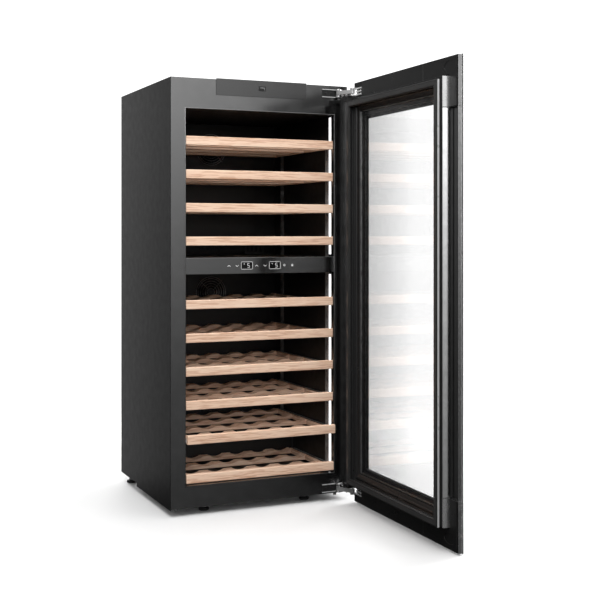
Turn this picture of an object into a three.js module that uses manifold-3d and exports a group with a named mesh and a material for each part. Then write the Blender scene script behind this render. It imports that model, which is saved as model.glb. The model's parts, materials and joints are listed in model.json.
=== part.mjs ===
// Built-in wine cooler with two temperature zones, ten pull-out wooden racks and a glass door.
// Millimetres, +Z up. X runs across the front, to the right; Y runs from the front to the back.
// The origin is the centre of the base pan's underside. The door is drawn closed and then turned open.
import * as THREE from "three";
import { mergeVertices } from "three/addons/utils/BufferGeometryUtils.js";
import Module from "manifold-3d";

// ---- driving dimensions ----
const CASE_WIDTH = 550;
const CASE_DEPTH = 518;
const CASE_HEIGHT = 1213;
const SHEET = 0.8; // steel sheet of the case
const FIT = 0.3; // gap kept between touching pieces
const FOOT_HEIGHT = 19; // from the base pan down to the floor
const REAR_STEP = { y: 80, z: 10 }; // the case's underside is raised behind this line

const FRAME_DEPTH = 14;
const FRAME_SKIN = 1.5;
const FRAME_BOTTOM = 4;
const OPENING = { half: 231, bottom: 65, top: 1127 };

const LINER = 3; // thickness of the inner shell
const CAVITY = { half: 236, floor: 62, top: 1129.5, back: 205 };
const HUMP = { y: 57, z: 172 }; // the floor steps up over the compressor space

const DIVIDER = { bottom: 660, top: 706 };
const PANEL_STANDS_PROUD = 2;
const DISPLAYS = [-47, 40]; // centres of the two temperature windows, across the panel
const WINDOW = { width: 34, height: 20 };

const RACK_PITCH = 94.5;
const UPPER_RACKS = { lowest: 766, count: 4 };
const LOWER_RACKS = { lowest: 209, count: 5 };
const BOTTOM_RACK_TOP = 98;
const RACK_HALF = 229;
const STRIP = { height: 25.5, depth: 15, inset: 0.5 };
const RACK_BACK = 168;
const SHORT_RACK_BACK = 48;
const BOTTLES_ACROSS = 6;
const BOTTLE_PITCH = 74;
const PULLED = { rack_09: 16, rack_10: 5 }; // how far these two stand out of the opening

const DOOR = { half: 297, bottom: -15, top: 1219, glass: 4, tray: 10.7 };
const DOOR_STANDOFF = 39; // from the case's front to the back of the door's tray, when closed
const RAISED = { left: -257, right: 273, bottom: 42, top: 1168, width: 41, height: 22 };
const GASKET = { width: 18, bottom: 44, top: 1160 };
const GLASS_BORDER = 10;
const HINGE_AXIS = { x: 290, y: -313 };
const REST_ANGLE = 88.5; // degrees the door stands open
const GRIP = { left: -292, right: -258.5, bottom: 116.5, top: 1089.8, depth: 8 };

const HINGE_HEIGHTS = { upper: 1190, lower: 20 }; // middle of each hinge
const HINGE_TALL = 24;
const EAR = 4.5; // thickness of a hinge ear
const CASE_PIVOT = { x: 241, y: -270 }; // where the link turns on the case's bracket
const DOOR_PIVOT = { x: 288, y: -288.6 }; // where the link meets the leaf, door closed

const FRONT = -CASE_DEPTH / 2;
const BACK = CASE_DEPTH / 2;
const SIDE = CASE_WIDTH / 2;
const INNER_SIDE = SIDE - SHEET - FIT; // widest that a piece between the side panels can be
const BEHIND_FRAME = FRONT + FRAME_DEPTH + FIT;
const TRAY_BACK = FRONT - DOOR_STANDOFF;

// ---- finishes ----
const finish = (color, roughness, metalness, opacity = 1) =>
  new THREE.MeshStandardMaterial({ color, roughness, metalness, opacity, transparent: opacity < 1 });
const FINISHES = {
  caseSteel: finish("#303030", 0.45, 0.3),
  frameSteel: finish("#5a5a5a", 0.35, 0.6),
  galvanised: finish("#9a9c9e", 0.45, 0.8),
  liner: finish("#0c0c0d", 0.5, 0),
  panel: finish("#3c3c3e", 0.3, 0.3),
  display: finish("#050506", 0.15, 0),
  light: finish("#ffffff", 0.4, 0),
  runner: finish("#3a3a3c", 0.35, 0.8),
  beech: finish("#e8c6a4", 0.55, 0),
  fan: finish("#161616", 0.5, 0),
  fins: finish("#a8abae", 0.4, 0.9),
  compressor: finish("#101011", 0.4, 0.5),
  foot: finish("#161616", 0.7, 0),
  chrome: finish("#c9ccd0", 0.15, 1),
  doorFrame: finish("#252527", 0.4, 0.4),
  doorPlastic: finish("#1c1c1d", 0.5, 0),
  clearGlass: finish("#dfe6e8", 0.05, 0, 0.3),
  gasket: finish("#121212", 0.75, 0),
};

// ---- solids ----
const wasm = await Module();
wasm.setup();

function solid(geometry) {
  const bare = geometry.clone();
  bare.deleteAttribute("normal");
  bare.deleteAttribute("uv");
  const merged = mergeVertices(bare, 1e-4);
  return new wasm.Manifold(
    new wasm.Mesh({
      numProp: 3,
      vertProperties: merged.attributes.position.array,
      triVerts: new Uint32Array(merged.index.array),
    }),
  );
}

function geometryOf(body) {
  const mesh = body.getMesh();
  const geometry = new THREE.BufferGeometry();
  geometry.setAttribute("position", new THREE.BufferAttribute(mesh.vertProperties, 3));
  geometry.setIndex(new THREE.BufferAttribute(mesh.triVerts, 1));
  const flat = geometry.toNonIndexed();
  flat.computeVertexNormals();
  return flat;
}

const join = (first, ...others) =>
  geometryOf(others.reduce((body, other) => body.add(solid(other)), solid(first)));

const cut = (first, ...tools) =>
  geometryOf(tools.reduce((body, tool) => body.subtract(solid(tool)), solid(first)));

// A box between two x, two y and two z values.
function box([x0, x1], [y0, y1], [z0, z1]) {
  const made = new THREE.BoxGeometry(x1 - x0, y1 - y0, z1 - z0);
  return made.translate((x0 + x1) / 2, (y0 + y1) / 2, (z0 + z1) / 2);
}

// An outline drawn in Y and Z, drawn out along X.
function alongX(points, x0, x1) {
  const shape = new THREE.Shape(points.map(([y, z]) => new THREE.Vector2(y, z)));
  const made = new THREE.ExtrudeGeometry(shape, { depth: x1 - x0, bevelEnabled: false });
  const turn = new THREE.Matrix4().makeBasis(
    new THREE.Vector3(0, 1, 0),
    new THREE.Vector3(0, 0, 1),
    new THREE.Vector3(1, 0, 0),
  );
  return made.applyMatrix4(turn).translate(x0, 0, 0);
}

// An outline drawn in X and Y, drawn out along Z.
function alongZ(points, z0, z1) {
  const shape = new THREE.Shape(points.map(([x, y]) => new THREE.Vector2(x, y)));
  return new THREE.ExtrudeGeometry(shape, { depth: z1 - z0, bevelEnabled: false }).translate(0, 0, z0);
}

// A shape drawn in X and Z, drawn out along Y.
function alongY(shape, y0, y1) {
  const made = new THREE.ExtrudeGeometry(shape, { depth: y1 - y0, bevelEnabled: false, curveSegments: 12 });
  return made.rotateX(Math.PI / 2).translate(0, y1, 0);
}

// A rectangular ring in X and Z with a hole, drawn out along Y.
function ring(outer, inner, y0, y1) {
  const shape = rectangle(outer);
  shape.holes.push(rectangle(inner));
  return alongY(shape, y0, y1);
}

function rectangle({ left, right, bottom, top }) {
  return new THREE.Shape([
    new THREE.Vector2(left, bottom),
    new THREE.Vector2(right, bottom),
    new THREE.Vector2(right, top),
    new THREE.Vector2(left, top),
  ]);
}

const inset = ({ left, right, bottom, top }, by) => ({
  left: left + by,
  right: right - by,
  bottom: bottom + by,
  top: top - by,
});

function upright(radius, z0, z1, x, y, sides = 20) {
  const made = new THREE.CylinderGeometry(radius, radius, z1 - z0, sides);
  return made.rotateX(Math.PI / 2).translate(x, y, (z0 + z1) / 2);
}

function mesh(name, geometry, material) {
  const made = new THREE.Mesh(geometry, FINISHES[material]);
  made.name = name;
  return made;
}

const SIDES = { left: -1, right: 1 };
const span = (a, b) => [Math.min(a, b), Math.max(a, b)];

// ---- case ----
function sidePanel(name, sign) {
  const outline = [
    [FRONT, 0],
    [REAR_STEP.y, 0],
    [REAR_STEP.y, REAR_STEP.z],
    [BACK, REAR_STEP.z],
    [BACK, CASE_HEIGHT],
    [FRONT, CASE_HEIGHT],
  ];
  const flangeWidth = 13;
  const skin = alongX(outline, ...span(sign * SIDE, sign * (SIDE - SHEET)));
  const flange = box(
    span(sign * SIDE, sign * (SIDE - flangeWidth)),
    [BACK - SHEET, BACK],
    [REAR_STEP.z, CASE_HEIGHT],
  );
  return mesh(`side_panel_${name}`, join(skin, flange), "caseSteel");
}

function topPanel() {
  const rear = BACK - SHEET - FIT;
  const lip = 12;
  const sheet = box([-INNER_SIDE, INNER_SIDE], [BEHIND_FRAME, rear], [CASE_HEIGHT - SHEET, CASE_HEIGHT]);
  const turned = box([-260, 260], [rear - SHEET, rear], [CASE_HEIGHT - lip, CASE_HEIGHT]);
  return mesh("top_panel", join(sheet, turned), "caseSteel");
}

// A shallow tray that closes the back, set in so that the condenser lies within the case's depth.
function rearCover() {
  const face = 240;
  const rear = BACK - SHEET - FIT;
  const height = [HUMP.z + 4, CASE_HEIGHT - SHEET - FIT];
  const outline = [
    [-INNER_SIDE, face],
    [INNER_SIDE, face],
    [INNER_SIDE, rear],
    [INNER_SIDE - SHEET, rear],
    [INNER_SIDE - SHEET, face + SHEET],
    [SHEET - INNER_SIDE, face + SHEET],
    [SHEET - INNER_SIDE, rear],
    [-INNER_SIDE, rear],
  ];
  return mesh("rear_cover", alongZ(outline, ...height), "galvanised");
}

const FOOT_PLACES = {
  front_left: { x: -158, y: -205, pan: 0 },
  front_right: { x: 158, y: -205, pan: 0 },
  rear_left: { x: -250, y: 225, pan: REAR_STEP.z },
  rear_right: { x: 250, y: 225, pan: REAR_STEP.z },
};
const STEM_RADIUS = 5;

// The base pan carries the feet and two short rests at its front corners.
function basePan() {
  const sheet = 1.5;
  const rear = BACK - SHEET - FIT;
  const edge = REAR_STEP.y - FIT;
  const outline = [
    [BEHIND_FRAME, 0],
    [edge, 0],
    [edge, REAR_STEP.z],
    [rear, REAR_STEP.z],
    [rear, REAR_STEP.z + sheet],
    [edge - sheet, REAR_STEP.z + sheet],
    [edge - sheet, sheet],
    [BEHIND_FRAME, sheet],
  ];
  const wall = (sign) =>
    alongX(
      [
        [BEHIND_FRAME, 0],
        [edge, 0],
        [edge, REAR_STEP.z],
        [rear, REAR_STEP.z],
        [rear, 26],
        [BEHIND_FRAME, 26],
      ],
      ...span(sign * INNER_SIDE, sign * (INNER_SIDE - sheet)),
    );
  const rests = Object.values(SIDES).map((sign) => upright(5, -9, 1, sign * 249, -228));
  const tray = join(alongX(outline, -INNER_SIDE, INNER_SIDE), wall(-1), wall(1), ...rests);
  const holes = Object.values(FOOT_PLACES).map(({ x, y }) => upright(STEM_RADIUS + 0.5, -5, 20, x, y, 24));
  return mesh("base_pan", cut(tray, ...holes), "galvanised");
}

// The front frame is folded sheet: a flat face with its outer and inner edges turned back.
function frontFrame() {
  const outer = { left: -INNER_SIDE, right: INNER_SIDE, bottom: FRAME_BOTTOM, top: CASE_HEIGHT };
  const hole = { left: -OPENING.half, right: OPENING.half, bottom: OPENING.bottom, top: OPENING.top };
  const rear = FRONT + FRAME_DEPTH;
  const body = ring(outer, hole, FRONT, rear);
  const hollow = ring(inset(outer, FRAME_SKIN), inset(hole, -FRAME_SKIN), FRONT + FRAME_SKIN, rear + 1);
  return mesh("front_frame", cut(body, hollow), "frameSteel");
}

function topFixingCover() {
  const plate = box([-140, 140], [FRONT - FIT - 2.5, FRONT - FIT], [1168, CASE_HEIGHT + 2.5]);
  const slot = box([-11, 11], [FRONT - 5, FRONT], [1185, 1198]);
  return mesh("top_fixing_cover", cut(plate, slot), "frameSteel");
}

function foot(name, { x, y, pan }) {
  const shoulder = pan - FIT;
  const profile = [
    [0, -FOOT_HEIGHT],
    [14, -FOOT_HEIGHT],
    [15, -FOOT_HEIGHT + 1.5],
    [15, -FOOT_HEIGHT + 7],
    [8, -FOOT_HEIGHT + 10],
    [8, shoulder],
    [STEM_RADIUS, shoulder],
    [STEM_RADIUS, pan + 16],
    [0, pan + 16],
  ];
  const geometry = new THREE.LatheGeometry(profile.map(([r, z]) => new THREE.Vector2(r, z)), 20);
  const made = mesh(`foot_${name}`, geometry.rotateX(Math.PI / 2), "foot");
  made.position.set(x, y, 0);
  return made;
}

// ---- inner shell ----
function linerSide(name, sign) {
  const wall = box(
    span(sign * CAVITY.half, sign * (CAVITY.half + LINER)),
    [BEHIND_FRAME, CAVITY.back],
    [CAVITY.floor, CAVITY.top],
  );
  return mesh(`liner_${name}`, wall, "liner");
}

function linerTop() {
  const reach = CAVITY.half + LINER;
  const z = CAVITY.top + FIT;
  return mesh("liner_top", box([-reach, reach], [BEHIND_FRAME, CAVITY.back], [z, z + LINER]), "liner");
}

function linerFloor() {
  const half = CAVITY.half - FIT;
  const outline = [
    [BEHIND_FRAME, CAVITY.floor - LINER],
    [HUMP.y + LINER, CAVITY.floor - LINER],
    [HUMP.y + LINER, HUMP.z - LINER],
    [CAVITY.back, HUMP.z - LINER],
    [CAVITY.back, HUMP.z],
    [HUMP.y, HUMP.z],
    [HUMP.y, CAVITY.floor],
    [BEHIND_FRAME, CAVITY.floor],
  ];
  return mesh("liner_floor", alongX(outline, -half, half), "liner");
}

function linerRear() {
  const reach = CAVITY.half + LINER;
  const y = CAVITY.back + FIT;
  return mesh("liner_rear", box([-reach, reach], [y, y + LINER], [HUMP.z - LINER, CAVITY.top]), "liner");
}

// A hollow insulated shelf between the zones, open towards the rear wall.
function zoneDivider() {
  const half = 232.5;
  const wall = 2.5;
  const height = [DIVIDER.bottom + 1, DIVIDER.top - 1];
  const rear = CAVITY.back - FIT;
  const body = box([-half, half], [BEHIND_FRAME, rear], height);
  const hollow = box(
    [-half + wall, half - wall],
    [BEHIND_FRAME + wall, rear + 1],
    [height[0] + wall, height[1] - wall],
  );
  return mesh("zone_divider", cut(body, hollow), "liner");
}

// ---- controls and lights ----
const PANEL_FACE = FRONT - PANEL_STANDS_PROUD;
const PANEL_MIDDLE = (DIVIDER.bottom + DIVIDER.top) / 2;

function controlPanel() {
  const outer = { left: -230.5, right: 230.5, bottom: DIVIDER.bottom, top: DIVIDER.top };
  const rear = FRONT + FRAME_DEPTH;
  const skin = 2.5;
  const body = alongY(rectangle(outer), PANEL_FACE, rear);
  const hollow = alongY(rectangle(inset(outer, skin)), PANEL_FACE + skin, rear + 1);
  const windows = DISPLAYS.map((x) => displayBlock(x, 0, PANEL_FACE - 1, PANEL_FACE + skin + 1));
  return mesh("control_panel", cut(body, hollow, ...windows), "panel");
}

function displayBlock(x, clearance, y0, y1) {
  const halfWidth = WINDOW.width / 2 - clearance;
  const halfHeight = WINDOW.height / 2 - clearance;
  return box([x - halfWidth, x + halfWidth], [y0, y1], [PANEL_MIDDLE - halfHeight, PANEL_MIDDLE + halfHeight]);
}

// One circuit board carries both number displays, which fill the windows of the panel.
function displayBoard() {
  const rear = FRONT + FRAME_DEPTH - 3;
  const board = box([-115, 115], [rear - 1.6, rear], [PANEL_MIDDLE - 15, PANEL_MIDDLE + 15]);
  const blocks = DISPLAYS.map((x) => displayBlock(x, FIT, PANEL_FACE + FIT, rear - 1));
  return mesh("display_board", join(board, ...blocks), "display");
}

const ZONES = {
  upper: [DIVIDER.top + 3, OPENING.top - 1.5],
  lower: [OPENING.bottom + 1, DIVIDER.bottom - 3],
};

function lightStrip(zone, side) {
  const sign = SIDES[side];
  const wide = span(sign * OPENING.half, sign * (CAVITY.half - FIT));
  const deep = [BEHIND_FRAME + 1.5, BEHIND_FRAME + 23.5];
  return mesh(`led_strip_${zone}_${side}`, box(wide, deep, ZONES[zone]), "light");
}

// ---- racks and runners ----
function rackTops() {
  const stack = ({ lowest, count }) =>
    Array.from({ length: count }, (_, i) => lowest + (count - 1 - i) * RACK_PITCH);
  return [...stack(UPPER_RACKS), ...stack(LOWER_RACKS), BOTTOM_RACK_TOP];
}

const RACKS = rackTops().map((top, i, all) => {
  const name = `rack_${String(i + 1).padStart(2, "0")}`;
  const back = i === all.length - 1 ? SHORT_RACK_BACK : RACK_BACK;
  return { name, top, back, pulled: PULLED[name] ?? 0 };
});

const DECK = { bottom: 24, top: 10, batten: 12 }; // depths below the top of the front strip
const BATTEN = { inner: 211, outer: 224 };

// A cross slat with one round seat for each bottle.
function slatShape() {
  const half = BATTEN.inner + 4;
  const seatRadius = 45;
  const seatDepth = 7;
  const reach = Math.acos((seatRadius - seatDepth) / seatRadius);
  const shape = new THREE.Shape();
  shape.moveTo(-half, 0);
  shape.lineTo(half, 0);
  shape.lineTo(half, DECK.bottom - DECK.top);
  for (let i = BOTTLES_ACROSS - 1; i >= 0; i--) {
    const x = (i - (BOTTLES_ACROSS - 1) / 2) * BOTTLE_PITCH;
    const lift = DECK.bottom - DECK.top + seatRadius - seatDepth;
    for (let step = 0; step <= 4; step++) {
      const angle = reach * (1 - step / 2);
      shape.lineTo(x + seatRadius * Math.sin(angle), lift - seatRadius * Math.cos(angle));
    }
  }
  shape.lineTo(-half, DECK.bottom - DECK.top);
  return shape;
}

function rack({ name, top, back, pulled }) {
  const stripFront = FRONT + STRIP.inset;
  const stripBack = stripFront + STRIP.depth;
  const strip = box([-RACK_HALF, RACK_HALF], [stripFront, stripBack], [-STRIP.height, 0]);
  const battens = Object.values(SIDES).map((sign) =>
    box(span(sign * BATTEN.inner, sign * BATTEN.outer), [stripBack - 2, back], [-DECK.bottom, -DECK.batten]),
  );
  const slatDepth = 32;
  const firstSlat = stripBack + 45;
  const slats = Math.round((back - firstSlat) / 95);
  const step = (back - slatDepth - firstSlat) / (slats - 1);
  const bars = Array.from({ length: slats }, (_, i) =>
    alongY(slatShape(), firstSlat + i * step, firstSlat + i * step + slatDepth).translate(0, 0, -DECK.bottom),
  );
  const made = mesh(name, join(strip, ...battens, ...bars), "beech");
  made.position.set(0, -pulled, top);
  return made;
}

// A ladder of fixed runners: two uprights against the liner and one rail under each rack.
function runnerBank(name, sign) {
  const outer = CAVITY.half - FIT;
  const uprightWide = span(sign * outer, sign * (outer - 2.4));
  const railWide = span(sign * outer, sign * (BATTEN.outer + 4.3));
  const first = BEHIND_FRAME + 30;
  const highest = RACKS[0].top;
  const front = box(uprightWide, [first, first + 20], [BOTTOM_RACK_TOP - 24, highest]);
  const rear = box(uprightWide, [RACK_BACK - 40, RACK_BACK - 20], [HUMP.z + 6, highest]);
  const rails = RACKS.map(({ top, back }) => box(railWide, [first, back - 4], [top - 22, top - 12]));
  return mesh(`runner_bank_${name}`, join(front, rear, ...rails), "runner");
}

// ---- cold air and cooling circuit ----
const FAN = { radius: 42, hole: 46, thick: 12 };
const DUCT_FACE = 180;
const DUCTS = {
  upper: { bottom: DIVIDER.top + 8, top: 1108, fan: 1046, cooler: [770, 960] },
  lower: { bottom: HUMP.z + 18, top: DIVIDER.bottom - 12, fan: 584, cooler: [260, 500] },
};
const AIR_SLOTS = 7;

function ductCover(name, { bottom, top, fan }) {
  const wall = 2.5;
  const half = 150;
  const rear = CAVITY.back - FIT;
  const body = box([-half, half], [DUCT_FACE, rear], [bottom, top]);
  const hollow = box([-half + wall, half - wall], [DUCT_FACE + wall, rear + 1], [bottom + wall, top - wall]);
  const fanHole = new THREE.CylinderGeometry(FAN.hole, FAN.hole, 20, 28).translate(0, DUCT_FACE, fan);
  const slots = Array.from({ length: AIR_SLOTS }, (_, i) => {
    const x = (i - (AIR_SLOTS - 1) / 2) * 12;
    return box([x - 2.5, x + 2.5], [DUCT_FACE - 1, DUCT_FACE + wall + 1], [bottom + 10, bottom + 34]);
  });
  return mesh(`air_duct_${name}`, cut(body, hollow, fanHole, ...slots), "liner");
}

// Hub and seven pitched blades; the fan turns about Y.
function fanWheel(name, { fan }) {
  const blades = 7;
  const hub = new THREE.CylinderGeometry(15, 15, FAN.thick, 20);
  const blade = (i) =>
    new THREE.BoxGeometry(FAN.radius - 12, 1.8, 15)
      .rotateX(THREE.MathUtils.degToRad(32))
      .translate((FAN.radius + 12) / 2, 0, 0)
      .rotateY((i * 2 * Math.PI) / blades);
  const wheel = join(hub, ...Array.from({ length: blades }, (_, i) => blade(i)));
  const made = mesh(`fan_${name}`, wheel, "fan");
  made.position.set(0, DUCT_FACE + 12, fan);
  return made;
}

// A block of upright fins, joined by a spine at the back.
function evaporator(name, { cooler }) {
  const fins = 14;
  const half = 110;
  const rear = CAVITY.back - 2;
  const spine = box([-half, half], [rear - 4, rear], cooler);
  const places = Array.from({ length: fins }, (_, i) => -half + (i * (2 * half - 3)) / (fins - 1));
  const plates = places.map((x) => box([x, x + 3], [DUCT_FACE + 6, rear - 3], cooler));
  return mesh(`evaporator_${name}`, join(spine, ...plates), "fins");
}

function compressor() {
  const base = REAR_STEP.z + 1.5 + FIT;
  const profile = [
    [0, 0],
    [50, 0],
    [50, 8],
    [56, 14],
    [58, 62],
    [61, 64],
    [61, 70],
    [58, 72],
    [55, 106],
    [44, 124],
    [24, 134],
    [0, 137],
  ];
  const pot = new THREE.LatheGeometry(profile.map(([r, z]) => new THREE.Vector2(r, z)), 24);
  const made = mesh("compressor", pot.rotateX(Math.PI / 2), "compressor");
  made.position.set(110, 165, base);
  return made;
}

// The condenser tube runs to and fro across the back, with a short bend at the end of each run.
function condenser() {
  const runs = 13;
  const lowest = 260;
  const pitch = 70;
  const half = 225;
  const tube = 5;
  const deep = [244, 244 + tube];
  const run = (i) => box([-half, half], deep, [lowest + i * pitch, lowest + i * pitch + tube]);
  const bend = (i) => {
    const end = i % 2 ? -half + tube : half;
    return box([end - tube, end], deep, [lowest + i * pitch, lowest + (i + 1) * pitch + tube]);
  };
  const pieces = Array.from({ length: runs }, (_, i) => run(i));
  const bends = Array.from({ length: runs - 1 }, (_, i) => bend(i));
  return mesh("condenser", join(...pieces.slice(0, 1), ...bends, ...pieces.slice(1)), "compressor");
}

function powerInlet() {
  const z = REAR_STEP.z + 1.5 + FIT;
  const body = box([-222, -188], [228, 256], [z, z + 30]);
  const socket = box([-217, -193], [240, 257], [z + 7, z + 23]);
  return mesh("power_inlet", cut(body, socket), "fan");
}

// ---- door, drawn closed ----
const DOOR_OUTLINE = { left: -DOOR.half, right: DOOR.half, bottom: DOOR.bottom, top: DOOR.top };
const RAISED_HOLE = inset(RAISED, RAISED.width);
const COVER = 2.5; // thickness of the covers on the back of the tray

function doorTray() {
  const face = TRAY_BACK - DOOR.tray;
  const body = ring(inset(DOOR_OUTLINE, 1), RAISED_HOLE, face, TRAY_BACK);
  const grip = box([GRIP.left, GRIP.right], [TRAY_BACK - GRIP.depth, TRAY_BACK + 1], [GRIP.bottom, GRIP.top]);
  const pockets = Object.values(HINGE_HEIGHTS).map((z) =>
    box([276, DOOR.half], [TRAY_BACK - 8.5, TRAY_BACK + 1], [z - 9, z + 9]),
  );
  return mesh("door_tray", cut(body, grip, ...pockets), "doorFrame");
}

function outerGlass() {
  const rear = TRAY_BACK - DOOR.tray - FIT;
  return mesh("door_outer_glass", alongY(rectangle(DOOR_OUTLINE), rear - DOOR.glass, rear), "clearGlass");
}

function innerGlass() {
  const rear = TRAY_BACK + 6;
  return mesh("door_inner_glass", alongY(rectangle(inset(RAISED_HOLE, FIT)), rear - 4, rear), "clearGlass");
}

function glassSpacer() {
  const outer = inset(RAISED_HOLE, FIT);
  const y = [TRAY_BACK - DOOR.tray, TRAY_BACK + 2 - FIT];
  return mesh("glass_spacer", ring(outer, inset(outer, GLASS_BORDER), ...y), "doorPlastic");
}

function innerFrame() {
  const rear = TRAY_BACK + RAISED.height;
  return mesh("door_inner_frame", ring(RAISED, RAISED_HOLE, TRAY_BACK + FIT, rear), "doorPlastic");
}

function doorGasket() {
  const outer = { left: RAISED.left, right: RAISED.right, bottom: GASKET.bottom, top: GASKET.top };
  const y = [TRAY_BACK + RAISED.height + FIT, FRONT - 2 * FIT];
  return mesh("door_gasket", ring(outer, inset(outer, GASKET.width), ...y), "gasket");
}

const COVER_HEIGHTS = { top: [1172, 1214], bottom: [-10, 38] };
const COVER_SEAM = -125; // where the long cover meets the cap at the grip's end
const coverDepth = [TRAY_BACK + FIT, TRAY_BACK + FIT + COVER];

function doorCover(name) {
  const plate = box([COVER_SEAM + FIT, 240], coverDepth, COVER_HEIGHTS[name]);
  return mesh(`door_cover_${name}`, plate, "doorPlastic");
}

// An L of thin plate that caps the end of the finger groove, with an oval thumb scoop.
function gripCap(name) {
  const [low, high] = COVER_HEIGHTS[name];
  const arm = box([-293, COVER_SEAM], coverDepth, [low, high]);
  const legSpan = name === "top" ? [GRIP.top + 2, high] : [low, GRIP.bottom - 2];
  const leg = box([-293, RAISED.left - 1.5], coverDepth, legSpan);
  const scoop = new THREE.CylinderGeometry(13, 13, 20, 28)
    .scale(1.9, 1, 1)
    .translate(-258, TRAY_BACK + 12, (low + high) / 2);
  return mesh(`grip_cap_${name}`, cut(join(arm, leg), scoop), "doorPlastic");
}

// ---- hinges ----
const DISC_SIDES = 20;

function ears(middle, makeEar) {
  const low = middle - HINGE_TALL / 2;
  const high = middle + HINGE_TALL / 2;
  return [makeEar(low, low + EAR), makeEar(high - EAR, high)];
}

function hingeBracket(name, middle) {
  const { x, y } = CASE_PIVOT;
  const radius = 8;
  const face = FRONT - FIT;
  const tall = [middle - HINGE_TALL / 2, middle + HINGE_TALL / 2];
  const plate = box([192, 262], [face - 3, face], tall);
  const ear = (z0, z1) =>
    join(box([x - radius, x + radius], [y, face - 1], [z0, z1]), upright(radius, z0, z1, x, y, DISC_SIDES));
  const pin = upright(2.6, tall[0] + 1, tall[1] - 1, x, y, 12);
  return mesh(`hinge_bracket_${name}`, join(plate, ...ears(middle, ear), pin), "chrome");
}

function hingeLeaf(name, middle) {
  const { x, y } = DOOR_PIVOT;
  const radius = 7.5;
  const face = TRAY_BACK + FIT;
  const plate = box([241, 274], [face, face + 3], [middle - HINGE_TALL / 2, middle + HINGE_TALL / 2]);
  const ear = (z0, z1) =>
    join(
      box([262, x + radius - 1], [face, face + 3], [z0, z1]),
      box([x - radius, x + radius - 1], [face, y], [z0, z1]),
      upright(radius, z0, z1, x, y, DISC_SIDES),
    );
  return mesh(`hinge_leaf_${name}`, join(plate, ...ears(middle, ear)), "chrome");
}

const turned = ({ x, y }, degrees) => {
  const place = new THREE.Vector2(x, y);
  return place.rotateAround(new THREE.Vector2(HINGE_AXIS.x, HINGE_AXIS.y), THREE.MathUtils.degToRad(degrees));
};

// The link lies between the ears of bracket and leaf, as it stands with the door open.
function hingeLink(name, middle) {
  const end = turned(DOOR_PIVOT, REST_ANGLE);
  const length = Math.hypot(end.x - CASE_PIVOT.x, end.y - CASE_PIVOT.y);
  const radius = 5.5;
  const half = HINGE_TALL / 2 - EAR - 0.8;
  const bar = box([0, length], [-radius, radius], [-half, half]);
  const body = join(
    bar,
    upright(radius + 1.5, -half, half, 0, 0, DISC_SIDES),
    upright(radius, -half, half, length, 0, DISC_SIDES),
  );
  const made = mesh(`hinge_link_${name}`, cut(body, upright(3.2, -20, 20, 0, 0, 16)), "chrome");
  made.position.set(CASE_PIVOT.x, CASE_PIVOT.y, middle);
  made.rotation.z = Math.atan2(end.y - CASE_PIVOT.y, end.x - CASE_PIVOT.x);
  return made;
}

// ---- assembly ----
function buildCase() {
  const group = new THREE.Group();
  const sides = Object.entries(SIDES);
  sides.forEach(([name, sign]) => group.add(sidePanel(name, sign), linerSide(name, sign), runnerBank(name, sign)));
  group.add(topPanel(), rearCover(), basePan(), frontFrame(), topFixingCover());
  group.add(linerTop(), linerFloor(), linerRear(), zoneDivider());
  group.add(controlPanel(), displayBoard());
  Object.keys(ZONES).forEach((zone) => sides.forEach(([side]) => group.add(lightStrip(zone, side))));
  Object.entries(DUCTS).forEach(([name, duct]) =>
    group.add(ductCover(name, duct), fanWheel(name, duct), evaporator(name, duct)),
  );
  group.add(compressor(), condenser(), powerInlet());
  Object.entries(FOOT_PLACES).forEach(([name, place]) => group.add(foot(name, place)));
  RACKS.forEach((entry) => group.add(rack(entry)));
  return group;
}

function buildDoor() {
  const closed = new THREE.Group();
  closed.add(doorTray(), outerGlass(), innerGlass(), glassSpacer(), innerFrame(), doorGasket());
  ["top", "bottom"].forEach((name) => closed.add(doorCover(name), gripCap(name)));
  Object.entries(HINGE_HEIGHTS).forEach(([name, middle]) => closed.add(hingeLeaf(name, middle)));
  closed.position.set(-HINGE_AXIS.x, -HINGE_AXIS.y, 0);
  const swing = new THREE.Group();
  swing.add(closed);
  swing.position.set(HINGE_AXIS.x, HINGE_AXIS.y, 0);
  swing.rotation.z = THREE.MathUtils.degToRad(REST_ANGLE);
  return swing;
}

const cooler = new THREE.Group();
cooler.add(buildCase(), buildDoor());
Object.entries(HINGE_HEIGHTS).forEach(([name, middle]) =>
  cooler.add(hingeBracket(name, middle), hingeLink(name, middle)),
);

export default cooler;
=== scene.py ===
"""Looks of a built-in wine cooler with a glass door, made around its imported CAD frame.

+Z up. X runs across the front, to the right; Y runs from the front to the back. The scene is in
metres. Pieces are drawn in millimetres and brought to metres when they are done. The door's pieces
are drawn with the door shut and then turned open with it.
"""

import json
import math

import bmesh
import bpy
from mathutils import Matrix, Vector
from mathutils.geometry import delaunay_2d_cdt


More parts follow.
